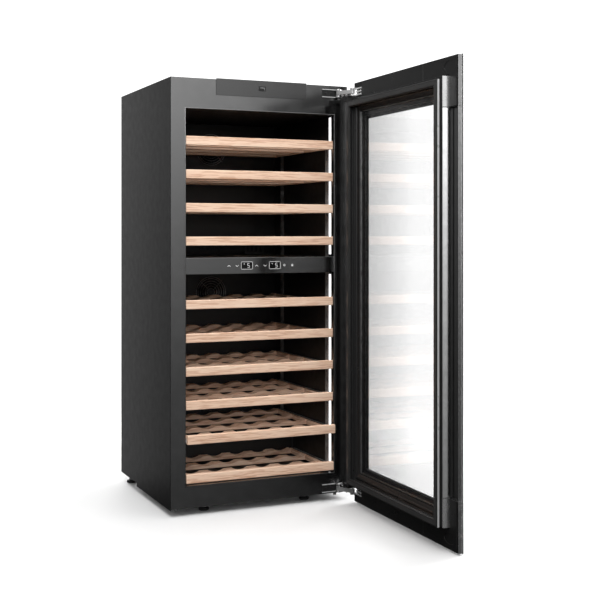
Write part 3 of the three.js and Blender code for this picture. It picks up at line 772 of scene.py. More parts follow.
def make_runners(side):
    """Two punched uprights on one side, and on them a rail with two rollers for each rack."""
    sign = SIDES[side]
    node = f"runner_bank_{side}"
    x, y, z = place_of(node)
    outer, inner = x[::-1] if sign > 0 else x
    web = outer - sign * RAIL_WALL
    rear = place_of("rack_01")[1][1]
    low_rear = place_of("liner_floor")[2][1] + 6
    uprights, rails, rollers = Shape(), Shape(), Shape()
    front_post = ((y[0], y[0] + STANDARD_WIDTH), z)
    rear_post = ((rear - 2 * STANDARD_WIDTH, rear - STANDARD_WIDTH), (low_rear, z[1]))
    for wide, tall in (front_post, rear_post):
        uprights.plate(standard_outlines(wide, tall), "X", *sorted((outer, outer - sign * STANDARD_THICK)))
    uprights.done(f"rack_standards_{side}", "runner", ROOT, "runner_steel", bevel=0.25, replaces=[node])
    for rack in RACKS:
        _, (_, rack_back), (_, top) = place_of(rack)
        low, high = (top - down for down in RAIL_LEVEL)
        outline = [(outer, low), (inner, low), (inner, low + RAIL_WALL), (web, low + RAIL_WALL)]
        outline += [(web, high - RAIL_WALL), (inner, high - RAIL_WALL), (inner, high), (outer, high)]
        rails.plate([outline], "Y", y[0], rack_back - 4)
        for place in ROLLER_PLACES:
            centre = (middle((inner, web)), y[0] + place, middle((low, high)))
            rollers.lathe(ROLLER_EDGE, centre, "X", sides=18)
    rails.done(f"rack_rails_{side}", "runner", ROOT, "runner_steel")
    rollers.done(f"rack_rollers_{side}", "tray_plastic", ROOT, "runner_steel")


LIGHT_CAP = 4


def make_light_strip(zone, side):
    """A clear-fronted light bar in a shallow channel, with a cap at each end."""
    node = f"led_strip_{zone}_{side}"
    x, y, z = place_of(node)
    front, wall = x if SIDES[side] > 0 else x[::-1]
    lit, back = y[0] + 4, y[1]
    tall = inward(z, LIGHT_CAP)
    # Sections in (share of the depth from the front to the wall, y).
    lens = [(0.28, lit), (0, lit + 3), (0, back - 4), (0.28, back - 1.4), (0.85, back - 1.4), (0.85, lit)]
    channel = [(0.35, y[0]), (1, y[0]), (1, back), (0.35, back), (0.35, back - 1.2), (0.88, back - 1.2)]
    channel += [(0.88, lit - 0.3), (0.1, lit - 0.3), (0.05, y[0] + 2)]
    for name, section, finish, stands_for in (
        ("light_bar", lens, "led", [node]),
        ("light_channel", channel, "led_channel", ()),
    ):
        outline = [(front + (wall - front) * share, b) for share, b in section]
        bar = Shape().plate([outline], "Z", *tall)
        bar.done(f"{name}_{zone}_{side}", finish, ROOT, "led_diffuser", replaces=stands_for)
    caps = Shape().box(x, y, (z[0], tall[0])).box(x, y, (tall[1], z[1]))
    caps.done(f"light_caps_{zone}_{side}", "led_channel", ROOT, "led_diffuser", bevel=0.8)


# ---- control panel ----
CHEVRONS = ((-102, 1), (-77, -1), (-17, 1), (9, -1))  # place across the panel, and up or down
CHEVRON_HALF, CHEVRON_TALL, CHEVRON_STROKE = 4.4, 1.7, 1.5
DISPLAYS = (-47, 40)
WINDOW_HALF = (17, 10)
LAMP_MARK, LOCK_MARK = 70, 95
PRINT = 0.12  # thickness of a printed mark
DIGIT_HALF, DIGIT_TALL, DIGIT_STROKE = 3, 6, 1.2


def make_marks():
    """The printed symbols: arrows, window borders, a lamp and a lock."""
    _, y, z = place_of("control_panel")
    level = middle(z)
    loops = []
    for x, up in CHEVRONS:
        wide, tall = CHEVRON_HALF, CHEVRON_TALL * up
        arrow = [(x - wide, level - tall), (x, level + tall), (x + wide, level - tall)]
        loops.append([arrow + [(a, b - CHEVRON_STROKE) for a, b in reversed(arrow)]])
    for x in DISPLAYS:
        inner = (about(x, WINDOW_HALF[0]), about(level, WINDOW_HALF[1]))
        outer = [inward(pair, -1) for pair in inner]
        loops.append([rounded(*outer, 3), rounded(*inner, 0.4)])
    loops.append([disc(LAMP_MARK, level, 3.3), disc(LAMP_MARK, level, 2.1)])
    loops.append([disc(LAMP_MARK, level, 0.8, 12)])
    lock = rounded(about(LOCK_MARK, 2.9), (level - 3.6, level + 0.8), 0.8)
    loops.append([lock, disc(LOCK_MARK, level - 1.4, 0.8, 12)])
    shackle = disc(LOCK_MARK, level + 1, 2.3, 14, 0, math.pi)
    loops.append([shackle + disc(LOCK_MARK, level + 1, 1.3, 14, math.pi, 0)])
    marks = Shape()
    for outlines in loops:
        marks.plate(outlines, "Y", y[0] - PRINT, y[0] + 0.1)
    marks.done("panel_marks", "icon", ROOT, "panel_plastic")


def make_digits():
    """The lit figure in each window: five segments of seven, and a degree mark."""
    _, y, z = place_of("control_panel")
    level = middle(z)
    face = about(y[0] + 0.3, 0.1)
    digits = Shape()
    for centre in DISPLAYS:
        x = centre + 5
        for height in (-DIGIT_TALL, 0, DIGIT_TALL):
            segment = rounded(about(x, DIGIT_HALF), about(level + height, DIGIT_STROKE / 2), 0.5, 3)
            digits.plate([segment], "Y", *face)
        for side, low, high in ((-1, 0, DIGIT_TALL), (1, -DIGIT_TALL, 0)):
            upright = inward((level + low, level + high), DIGIT_STROKE / 2)
            segment = rounded(about(x + side * DIGIT_HALF, DIGIT_STROKE / 2), upright, 0.6, 3)
            digits.plate([segment], "Y", *face)
        ring = (centre - 8, level + 4.6)
        digits.plate([disc(*ring, 1.5, 16), disc(*ring, 0.8, 16)], "Y", *face)
    digits.done("display_digits", "icon", ROOT, "display_plastic")


# ---- front frame ----
BEAD_FOLD = (
    (-1.8, 0.3), (-1.8, -0.3), (-1.2, -0.7), (-0.4, -0.9), (0.2, -0.7), (0.4, -0.2), (0.4, 2), (0.05, 2),
    (0.05, 0.3),
)  # fmt: skip
FIXING_SLOT = ((-10.6, 10.6), (1185.4, 1197.6))
LATCH_BAR = 2


def make_front_details():
    """The folded bead round the opening, and in the cover's slot a near-black box, painted shade of the
    slot's hollow, with its latch.
    """
    face = place_of("front_frame")[1][0]
    wide, _, high = place_of("led_strip_upper_left")
    _, _, low = place_of("led_strip_lower_left")
    half = abs(wide[1])
    bead = Shape().frame((-half, half, low[0] - 1, high[1] + 1.5), section_at(BEAD_FOLD, face - 0.4))
    bead.done("opening_bead", "bead_and_ridge_highlight", ROOT, "frame_steel")
    front, back = place_of("top_fixing_cover")[1]
    x, z = FIXING_SLOT
    # painted shade: a near-black box fills the slot's hollow
    insert = Shape().box(x, (front + 0.9, back), z)
    insert.done("fixing_slot_shade", "shade_and_dark_parts", ROOT, "frame_steel", bevel=0.3)
    left, right, low_end, top = x[0] + 4, x[1] - 2, z[0] + 3, z[1] - 2
    bend = (right - LATCH_BAR, top - LATCH_BAR)
    hook = [(left, top), (right, top), (right, low_end), (bend[0], low_end), bend, (left, bend[1])]
    latch = Shape().plate([hook], "Y", front + 0.3, front + 0.8)
    latch.done("fixing_slot_latch", "screw", ROOT, "frame_steel", bevel=0.15)


# ---- door ----
# Sections carried round the door: (inward from a rectangle, above the tray's back).
FRAME_SECTION = (
    (0, 0.3), (0, 20.6), (0.4, 21.4), (1.2, 21.8), (17.6, 21.8), (18.4, 21.4), (18.8, 20.4), (19.2, 16.8),
    (20, 16.2), (22.6, 16.2), (23.4, 16.8), (23.8, 18.2), (24.6, 18.8), (26, 18.8), (26.8, 18.2),
    (28.4, 15.4), (36, 12.2), (37, 10.6), (37.4, 8.4), (38.2, 7.8), (41, 7.8), (41, 0.3),
)  # fmt: skip
GASKET_SECTION = (
    (1.5, 22.3), (16.5, 22.3), (16.8, 23.6), (14, 25.4), (16.6, 27.6), (17.6, 30), (17.8, 35.8),
    (16.8, 37.4), (14.8, 38), (4, 38), (1.6, 37.4), (0.4, 35.8), (0.4, 30), (1.4, 27.6), (4, 25.4),
    (1.2, 23.6),
)  # fmt: skip
GASKET_FACE_SECTION = ((4.2, 38.05), (14.6, 38.05), (14.6, 38.4), (4.2, 38.4))
BEAD_SECTION = (
    (38.4, 7.9), (38.8, 9.4), (39.8, 10.2), (41.2, 10.2), (41.8, 9.4), (41.8, 6.3), (41, 6.3), (41, 7.9),
)  # fmt: skip
GASKET_HIGHLIGHT = (30.5, 35.6)  # above the tray's back: the band of a painted highlight on the gasket by the grip


def make_door_frame():
    """The raised frame, the gasket with a lighter face of painted sheen, a painted highlight line on the
    gasket by the grip, and the glass's bead.
    """
    base = shut_place_of("door_tray")[1][1]
    raised, gasket = shut_rect_of("door_inner_frame"), shut_rect_of("door_gasket")
    parts = (
        ("door_frame_moulding", FRAME_SECTION, raised, "trim", "door_trim", ["door_inner_frame"]),
        ("door_magnet_gasket", GASKET_SECTION, gasket, "gasket", "gasket_rubber", ["door_gasket"]),
        # a lighter skin on the gasket's face: painted sheen
        ("door_gasket_face", GASKET_FACE_SECTION, gasket, "gasket_sheen", "gasket_rubber", ()),
        ("glazing_bead", BEAD_SECTION, raised, "bead", "door_trim", ()),
    )
    for name, section, rect, finish, slot, nodes in parts:
        Shape().frame(rect, section_at(section, base)).done(name, finish, DOOR, slot, replaces=nodes)
    # A bright strip on the gasket's edge by the grip: a painted highlight.
    left, _, low, high = gasket
    line_y = [base + above for above in GASKET_HIGHLIGHT]
    line = Shape().box((left, left + 0.35), line_y, inward((low, high), 1))
    line.done("door_gasket_highlight", "painted_highlight", DOOR, "gasket_rubber", bevel=0.1)


def make_cover_edges():
    """Where each long cover ends: a fine raised ridge by the cap, lighter than the cover as a painted
    highlight of its edge, and a painted highlight on the corner by the grip.
    """
    lips = Shape()
    for end in ("top", "bottom"):
        (left, _), (_, back), z = shut_place_of(f"door_cover_{end}")
        lips.box((left - 0.9, left + 0.5), (back + 0.05, back + 0.7), inward(z, 0.5))
        # a painted highlight along the cover's corner by the grip
        edge = Shape().box((left - 0.9, left - 0.1), (back - 2.6, back), inward(z, 0.4))
        edge.done(f"door_cover_corner_highlight_{end}", "painted_highlight", DOOR, "door_trim", bevel=0.2)
    lips.done("cover_lips", "bead_and_ridge_highlight", DOOR, "door_trim", bevel=0.2)


GRIP_GROOVE = (116.5, 1089.8)
GROOVE_WALL = 1.6  # from the raised frame's edge to the groove's inner wall
GROOVE_FOOT = 7.2
RAIL_STEPS = 8


def rail_outline(x, y, base, swell, foot=0.0):
    """The grip rail's section in X and Y: it leans in towards its top and its face is slightly round.

    A foot is how far it goes down into the tray's groove, clear of the groove's wall.
    """
    low = y[0] - foot
    points = [(x, y[1]), (x, y[0])]
    if foot:
        points += [(x - GROOVE_WALL, y[0]), (x - GROOVE_WALL, low)]
    for i in range(RAIL_STEPS + 1):
        share = i / RAIL_STEPS
        bulge = swell * 4 * share * (1 - share)
        points.append((x - base * (1 - share) - bulge - 0.4, low + (y[1] - low) * share))
    return points


def make_grip():
    """The bright rail that fingers hook behind, its end pieces, and the strip along the door's edge."""
    x, y, z = shut_place_of("door_inner_frame")
    (tray_left, _), tray_y, tray_z = shut_place_of("door_tray")
    near = x[0] - 0.1
    low, high = GRIP_GROOVE[0] - 0.8, GRIP_GROOVE[1] + 0.8
    edge = (tray_left - 0.95, tray_left - 0.05)
    edge_y = inward(tray_y, 0.2)
    section = rail_outline(near, inward(y, 0.4), 3.6, 1.2, GROOVE_FOOT)
    rail = Shape().plate([section], "Z", *inward(GRIP_GROOVE, 1))
    rail.done("grip_rail", "grip", DOOR, "door_trim", bevel=0.25)
    Shape().box(edge, edge_y, GRIP_GROOVE).done("door_edge_strip", "grip", DOOR, "door_trim", bevel=0.25)
    sleeves = Shape()
    for span in ((z[0] + 0.5, low), (high, z[1] - 0.5)):
        sleeves.plate([rail_outline(near, inward(y, 0.1), 3.4, 0.9)], "Z", *span)
    for span in ((tray_z[0], low), (high, tray_z[1])):
        sleeves.box(edge, edge_y, span)
    sleeves.done("grip_end_sleeves", "grip_end", DOOR, "door_trim", bevel=0.35)


GLASS_BORDER = 10
TOP_BORDER_EXTRA = 9.5  # the enamel is wider along the top
RIM_SKIN = (-0.15, 0.2)  # outside and inside the pane's edge


def make_glass_border():
    """The black enamel behind the outer pane's border, the dark polish on its rim, and the spacer's foil."""
    x, y, z = shut_place_of("door_outer_glass")
    clear_x, _, clear_z = shut_place_of("door_inner_glass")
    outer = rounded(inward(x, 0.6), inward(z, 0.6), 0.5, 2)
    hole_z = (clear_z[0] + GLASS_BORDER, clear_z[1] - GLASS_BORDER - TOP_BORDER_EXTRA)
    hole = rounded(inward(clear_x, GLASS_BORDER), hole_z, 1.5, 4)
    enamel = Shape().plate([outer, hole], "Y", y[1] + 0.05, y[1] + 0.2)
    enamel.done("glass_border", "frit", DOOR, "door_glass")
    rim = ring_section(RIM_SKIN, (y[0] + 0.6, y[1] - 0.1))
    Shape().frame((*x, *z), rim).done("glass_rim", "frit", DOOR, "door_glass")
    front, back = shut_place_of("glass_spacer")[1]
    depth = back - front
    foil = ring_section((GLASS_BORDER - 0.6, GLASS_BORDER), (front + 0.9 * depth, front + 0.35 * depth))
    Shape().frame((*clear_x, *clear_z), foil).done("spacer_foil", "bead", DOOR, "door_trim")


def ring_section(offsets, y):
    """The section of a flat ring, for Shape.frame."""
    (near, far), (front, back) = offsets, y
    return [(near, front), (near, back), (far, back), (far, front)]


# ---- return-air grille ----
RETURN_X = (119, 187)
RETURN_TALL = 56
RETURN_THICK = 1.2
RETURN_CORNER = 3
RETURN_SLOTS = (126, 141, 156, 171)
RETURN_SLOT_WIDTH = 7


def make_return_grille():
    """A slotted cover beside the upper air duct."""
    back = place_of(DUCTS["upper"])[1][0] - RETURN_THICK
    rear = place_of("liner_rear")[1][0]
    low = place_of("zone_divider")[2][1] + 2
    z = (low, low + RETURN_TALL)
    slots = [rounded((x, x + RETURN_SLOT_WIDTH), inward(z, 8), RETURN_CORNER) for x in RETURN_SLOTS]
    cover = Shape().plate([rounded(RETURN_X, z, RETURN_CORNER), *slots], "Y", back - RETURN_THICK, back)
    cover.box((RETURN_X[1] - 1.6, RETURN_X[1] - 0.2), (back, rear - 0.3), inward(z, RETURN_CORNER))
    cover.done("return_air_grille", "grille", ROOT, "liner_plastic", bevel=0.3)


# ---- hinges ----
CASE_PIVOT = (241, -270)
DOOR_PIVOT = (288, -288.6)  # with the door shut
HINGE_HALF = 12
EAR = 4.5
CASE_EAR_RADIUS, DOOR_EAR_RADIUS = 8, 7.5
BRACKET_SKIN, BRACKET_FACE = 0.9, 3.1  # how far the channel and the lips stand out from the front frame
BRACKET_SCREWS = (12, 30)
BRACKET_LIP = 2
PIN_HEAD = ((1, 0), (1.6, 0), (1.3, 1.2), (0.2, 1.6))  # share of the pin's radius, and rise past the ears
OUTWARD = {"upper": 1, "lower": -1}  # up or down, away from the middle of the door


def ear_levels(level):
    return ((level - HINGE_HALF, level - HINGE_HALF + EAR), (level + HINGE_HALF - EAR, level + HINGE_HALF))


def pin(shape, centre, level, radius):
    """A pivot pin with a domed head at each end."""
    head = [(radius * share, HINGE_HALF + rise) for share, rise in PIN_HEAD]
    shape.lathe([(r, -h) for r, h in reversed(head)] + head, (*centre, level), "Z", sides=20)


def make_bracket(end):
    """The part on the case: a channel painted dark as shade between lips painted bright as highlights, ears,
    a pin and screws.
    """
    node = f"hinge_bracket_{end}"
    x, _, z = place_of(node)
    level = middle(z)
    face = place_of("front_frame")[1][0] - 0.05
    skin, front = face - BRACKET_SKIN, face - BRACKET_FACE
    base = Shape().box(x, (skin, face), inward(z, 0.2))
    for place in BRACKET_SCREWS:
        base.screw((x[0] + place, skin, level), "Y", 3.6)
    base.done(f"hinge_channel_{end}", "shade_and_dark_parts", ROOT, "hinge_steel", bevel=0.2)
    lips = Shape()
    for span in ((z[0], z[0] + BRACKET_LIP), (z[1] - BRACKET_LIP, z[1])):
        lips.box((x[0], x[1] - 4), (front, skin), span)
    lips.done(f"hinge_bracket_lips_{end}", "painted_highlight", ROOT, "hinge_steel", bevel=0.4)
    pivot_x, pivot_y = CASE_PIVOT
    radius = CASE_EAR_RADIUS
    metal = Shape().box((pivot_x - 2.5, pivot_x + 2), (front, skin), inward(z, BRACKET_LIP + 0.1))
    ear = [(pivot_x - radius, skin), *disc(pivot_x, pivot_y, radius, 17, math.pi, 2 * math.pi)]
    for span in ear_levels(level):
        metal.plate([[*ear, (pivot_x + radius, skin)]], "Z", *span)
    pin(metal, CASE_PIVOT, level, 2.6)
    metal.done(f"hinge_bracket_metal_{end}", "chrome", ROOT, "hinge_steel", bevel=0.35, replaces=[node])


def link_frame(end):
    """Turns a link drawn from the origin along X into its place between the two pivots."""
    level = middle(place_of(f"hinge_link_{end}")[2])
    near = Vector((*CASE_PIVOT, level))
    reach = OPEN_TURN @ Vector((*DOOR_PIVOT, level)) - near
    turn = Matrix.Translation(near) @ Matrix.Rotation(math.atan2(reach.y, reach.x), 4, "Z")
    return turn, reach.length


LINK_LEVELS = (-4.2, 6.9)  # the cast body, outward from the hinge's middle
LINK_NEAR, LINK_FAR, LINK_BORE = 6.8, 6.2, 3.1
RIVET_HEAD = ((0.3, 6.7), (2.6, 6.7), (2.6, 7.1), (2.2, 7.7), (0.3, 8))
RIVET_SHARES = (0.34, 0.62)
DAMPER_LEVELS = (-12.6, -4.5)
DAMPER_END, DAMPER_HALF = 9.5, 6
ROLLER = ((3.6, 5.9), (3.6, 6.6), (3.2, 7), (1.8, 7), (1.6, 6.4), (1.6, 5.9))
ROLLER_SHARES = (0.36, 0.64)


def facing(profile, side):
    """A lathe's profile on the plus or minus side of its centre."""
    return [(r, side * h) for r, h in profile[::side]]


def make_link(end):
    """A cast body with two rivets, and beside it a dark housing with bright rollers."""
    node = f"hinge_link_{end}"
    turn, length = link_frame(end)
    out = OUTWARD[end]
    quarter = math.pi / 2
    body = disc(0, 0, LINK_NEAR, 15, quarter, 3 * quarter) + disc(length, 0, LINK_FAR, 15, -quarter, quarter)
    metal = Shape().plate([body, disc(0, 0, LINK_BORE, 16)], "Z", *mirrored(out, LINK_LEVELS))
    for share in RIVET_SHARES:
        metal.lathe(facing(RIVET_HEAD, out), (length * share, 0, 0), "Z", sides=16)
    name = f"hinge_link_plates_{end}"
    metal.done(name, "cast", node, "hinge_steel", turn=turn, bevel=0.5, replaces=[node])
    levels = mirrored(out, DAMPER_LEVELS)
    rollers = Shape()
    for share in ROLLER_SHARES:
        for side in SIDES.values():
            rollers.lathe(facing(ROLLER, side), (length * share, 0, middle(levels)), "Y", sides=18)
    rollers.done(f"hinge_rollers_{end}", "chrome", node, "hinge_steel", turn=turn, bevel=0.1)
    damper = Shape().box((DAMPER_END, length - DAMPER_END), (-DAMPER_HALF, DAMPER_HALF), levels)
    damper.done(f"hinge_damper_{end}", "shade_and_dark_parts", node, "hinge_steel", turn=turn, bevel=0.5)


LEAF_X = (241, 274)
LEAF_THICK = 1.4
FINGER_X, FINGER_HEIGHTS, FINGER_HALF = (243, 276), (-8.9, 0, 8.9), 2.1
LEAF_SCREWS_X, LEAF_SCREW_HEIGHTS = (250, 266), (-4.3, 4.3)
STEP_X, STEP_BACK = (262, 294), 36.6
STEP_LEVELS = (14.2, 21.6)  # inward from the hinge's middle


def make_leaf(end):
    """The part on the door: a plate painted dark as shade with three fingers painted bright as highlights,
    ears and a pin, and a step to the gasket.
    """
    node = f"hinge_leaf_{end}"
    _, (base, _), z = shut_place_of(node)
    level = middle(z)
    out = OUTWARD[end]
    leaf = Shape().box(LEAF_X, (base, base + LEAF_THICK), z)
    leaf.done(f"hinge_leaf_base_{end}", "shade_and_dark_parts", DOOR, "hinge_steel", bevel=0.4)
    near, far = (level - out * inner for inner in STEP_LEVELS)
    gasket_end = shut_place_of("door_gasket")[2][1 if end == "upper" else 0] + out * 0.3
    step = Shape().box(STEP_X, (base, base + STEP_BACK), sorted((far, near)))
    step.box(STEP_X, (base + 23, base + STEP_BACK), sorted((gasket_end, near)))
    step.done(f"hinge_step_{end}", "shade_and_dark_parts", DOOR, "door_trim", bevel=0.6)
    fingers = Shape()
    for height in FINGER_HEIGHTS:
        fingers.box(FINGER_X, (base + 1.5, base + 4.2), about(level + height, FINGER_HALF))
    fingers.done(f"hinge_fingers_{end}", "painted_highlight", DOOR, "hinge_steel", bevel=0.6, segments=3)
    metal = Shape()
    pivot_x, pivot_y = DOOR_PIVOT
    radius = DOOR_EAR_RADIUS
    ear = [(STEP_X[0], base), (pivot_x + radius, base), *disc(pivot_x, pivot_y, radius, 15, 0, math.pi)]
    ear += [(pivot_x - radius, base + 4), (STEP_X[0], base + 3)]
    for span in ear_levels(level):
        metal.plate([ear], "Z", *span)
    pin(metal, DOOR_PIVOT, level, 2.2)
    for place in LEAF_SCREWS_X:
        for height in LEAF_SCREW_HEIGHTS:
            metal.screw((place, base + LEAF_THICK, level + height), "Y", 1.6, sign=-1)
    metal.done(f"hinge_leaf_metal_{end}", "chrome", DOOR, "hinge_steel", bevel=0.4, replaces=[node])


# ---- fans ----
FAN_BLADES = 7
BLADE_STEPS = 5
BLADE_ROOT, BLADE_SPAN = 13, 28.5
BLADE_PITCH, BLADE_TWIST = 42, 20  # degrees at the root, and less at the tip
BLADE_CHORD, BLADE_BELLY = 17, 8
BLADE_HALF_THICK, BLADE_CAMBER = 0.8, 1.6
BLADE_SWEEP = 0.25
BLADE_DEPTH = 7.2  # no blade reaches further from the wheel's middle along its axis
HUB_PROFILE = (
    (0.4, -6), (9, -6), (13, -5), (15, -2.5), (15, 5.4), (13.6, 6), (13, 5), (4, 5), (3.4, 6.4), (0.4, 6.4),
)  # fmt: skip
GUARD_RINGS = (12, 20, 28, 36, 44, 50)
GUARD_WIRE = 0.9
GUARD_SPOKE = ((11, 3.9), (46, 3.9), (52, 3.2), (55, 0.9))  # radius, and height over the duct


def blade_rings(index):
    """Sections of one twisted blade from the hub to its tip, about the Y axis."""
    rings = []
    for step in range(BLADE_STEPS + 1):
        share = step / BLADE_STEPS
        radius = BLADE_ROOT + BLADE_SPAN * share
        pitch = math.radians(BLADE_PITCH - BLADE_TWIST * share)
        chord = BLADE_CHORD + BLADE_BELLY * math.sin(math.pi * share * 0.8)
        lean = 2 * math.pi * index / FAN_BLADES + BLADE_SWEEP * share
        points = []
        for a, b in disc(0, 0, 1, 10):
            along = a * chord / 2
            thick = b * BLADE_HALF_THICK + BLADE_CAMBER * math.cos(a * math.pi / 2)
            tangent = along * math.cos(pitch) - thick * math.sin(pitch)
            depth = along * math.sin(pitch) + thick * math.cos(pitch)
            points.append(turned_point(radius, tangent, lean, max(-BLADE_DEPTH, min(BLADE_DEPTH, depth))))
        rings.append(points)
    return rings


def turned_point(radius, tangent, lean, depth):
    x = radius * math.cos(lean) - tangent * math.sin(lean)
    z = radius * math.sin(lean) + tangent * math.cos(lean)
    return Vector((x, depth, z))


def make_fan(zone):
    """A bladed wheel, and a wire guard over its hole in the duct."""
    node = f"fan_{zone}"
    centre = Vector([middle(span) for span in place_of(node)])
    turn = Matrix.Translation(centre)
    wheel = Shape().lathe(HUB_PROFILE, (0, 0, 0), "Y", sides=36)
    for i in range(FAN_BLADES):
        wheel.faces_of(blade_rings(i))
    wheel.done(f"fan_wheel_{zone}", "fan", node, "fan_plastic", turn=turn, replaces=[node])
    face = place_of(DUCTS[zone])[1][0] - centre.y
    guard = Shape()
    for radius in GUARD_RINGS:
        ring = [(a, face - 2.6, b) for a, b in disc(0, 0, radius, 48)]
        guard.tube(ring, GUARD_WIRE, 6, closed=True)
    for i in range(4):
        angle = math.pi * (i / 2 + 0.25)
        spoke = [turned_point(radius, 0, angle, face - height) for radius, height in GUARD_SPOKE]
        guard.tube(spoke, GUARD_WIRE * 1.2, 6)
    guard.done(f"fan_guard_{zone}", "wire", ROOT, "fan_plastic", turn=turn)


# ---- back and underside ----
COIL_RUNS, COIL_LOWEST, COIL_PITCH, COIL_HALF, COIL_RADIUS = 13, 262.5, 70, 222.5, 2.6
COIL_TOP = COIL_LOWEST + (COIL_RUNS - 1) * COIL_PITCH
COIL_WIRE, COIL_WIRE_PITCH = 0.8, 22
CLIP_RUNS, CLIP_X, CLIP_HALF = (0, 4, 8, 12), (-168, 168), (8, 6)
SHEET = 0.8  # the rear cover


def condenser_path():
    """The tube's centreline: level runs joined by half circles, in X and Z."""
    bend = COIL_PITCH / 2
    reach = COIL_HALF - bend
    path = [(-COIL_HALF, COIL_LOWEST)]
    sign = 1
    for i in range(COIL_RUNS - 1):
        level = COIL_LOWEST + i * COIL_PITCH
        path += [(-sign * reach, level)] if i else []
        for x, z in disc(0, 0, bend, 13, -math.pi / 2, math.pi / 2):
            path.append((sign * (reach + x), level + bend + z))
        sign = -sign
    return path + [(-sign * reach, COIL_TOP), (sign * COIL_HALF, COIL_TOP)]


def make_condenser():
    """The tube on the back, the wires welded to it, and the clips that hold it."""
    x, y, z = place_of("condenser")
    tube = Shape().tube([(a, middle(y), b) for a, b in condenser_path()], COIL_RADIUS, 10)
    tube.done("condenser_tube", "black_enamel", ROOT, "black_steel", replaces=["condenser"])
    wires, clips = Shape(), Shape()
    count = int((x[1] - x[0] - 24) // COIL_WIRE_PITCH)
    for i in range(count + 1):
        place = middle(x) + (i - count / 2) * COIL_WIRE_PITCH
        for depth in (y[0] - COIL_WIRE, y[1] + COIL_WIRE):
            wires.tube([(place, depth, z[0] - 6), (place, depth, z[1] + 6)], COIL_WIRE, 6)
    wires.done("condenser_wires", "black_enamel", ROOT, "black_steel")
    clip_y = (place_of("rear_cover")[1][0] + SHEET, y[1] + 2.2)
    for i in CLIP_RUNS:
        for place in CLIP_X:
            clips.box(about(place, CLIP_HALF[0]), clip_y, about(COIL_LOWEST + i * COIL_PITCH, CLIP_HALF[1]))
    clips.done("condenser_clips", "relay", ROOT, "black_steel", bevel=1.6, segments=3)


POT_PROFILE = (
    (2, 0), (48, 0), (52, 2), (54.5, 8), (56, 20), (57.2, 40), (58, 60), (60.6, 61.5), (61, 64), (61, 69),
    (60.4, 71.5), (58, 73), (57, 90), (54.5, 104), (50, 115), (43, 124), (33, 130.5), (20, 135), (8, 136.8),
    (1, 137),
)  # fmt: skip
GROMMET_PROFILE = (
    (2.5, 0), (10, 0), (10, 6), (4.8, 7), (4.8, 10), (9, 10.6), (9, 14), (6, 16), (2.5, 16),
)  # fmt: skip
FOOT_BAR_X, FOOT_BAR_HALF, FOOT_BAR_LEVELS = (42, 84), 46, (7, 9.4)
GROMMET_X, GROMMET_Y, GROMMET_HOLE = 74, 34, 5
RELAY_X, RELAY_HALF, RELAY_LEVELS = (-92, -60), 26, (40, 92)


def make_compressor():
    """The welded shell, its feet on rubber grommets, and the cover of its start relay."""
    x, y, z = place_of("compressor")
    turn = Matrix.Translation((middle(x), middle(y), z[0]))
    shell = Shape().lathe(POT_PROFILE, (0, 0, 0), "Z", sides=56)
    shell.done("compressor_shell", "black_enamel", ROOT, "black_steel", turn=turn, replaces=["compressor"])
    below = -0.2
    feet, rubber = Shape(), Shape()
    for sx in SIDES.values():
        spots = [(sx * GROMMET_X, sy * GROMMET_Y) for sy in SIDES.values()]
        bar = rounded(mirrored(sx, FOOT_BAR_X), about(0, FOOT_BAR_HALF), 8)
        holes = [disc(*spot, GROMMET_HOLE, 18) for spot in spots]
        feet.plate([bar, *holes], "Z", *(level + below for level in FOOT_BAR_LEVELS))
        for spot in spots:
            rubber.lathe(GROMMET_PROFILE, (*spot, below), "Z", sides=20)
    feet.done("compressor_feet", "black_enamel", ROOT, "black_steel", turn=turn, bevel=0.4)
    rubber.done("compressor_grommets", "foot", ROOT, "foot_plastic", turn=turn)
    relay = Shape().box(RELAY_X, about(0, RELAY_HALF), [level + below for level in RELAY_LEVELS])
    relay.done("start_relay_cover", "relay", ROOT, "black_steel", turn=turn, bevel=4, segments=4)


def fillet(points, radius, steps=6):
    """A path with its corners rounded."""
    points = [Vector(p) for p in points]
    path = [points[0]]
    for before, corner, after in zip(points, points[1:], points[2:]):
        start = corner + (before - corner).normalized() * min(radius, (before - corner).length / 2)
        end = corner + (after - corner).normalized() * min(radius, (after - corner).length / 2)
        for i in range(steps + 1):
            share = i / steps
            path.append(start * (1 - share) ** 2 + corner * 2 * share * (1 - share) + end * share**2)
    return path + [points[-1]]


PIPE_BEND = 12
DISCHARGE_RADIUS, LIQUID_RADIUS = 3, 2.6
PIPE_LEVEL, PIPE_RISE = 130, 160
STUB_LEVEL, STUB_REACHES = 108, (35, 70)
DRIER_PROFILE = ((2.8, -48), (3.2, -38), (9, -30), (9.5, -28), (9.5, 28), (9, 30), (3.2, 38), (2.8, 48))
DISCHARGE_Y = 235
DRIER_PLACE = (-112, 215, PIPE_LEVEL)
LIQUID_END = -160


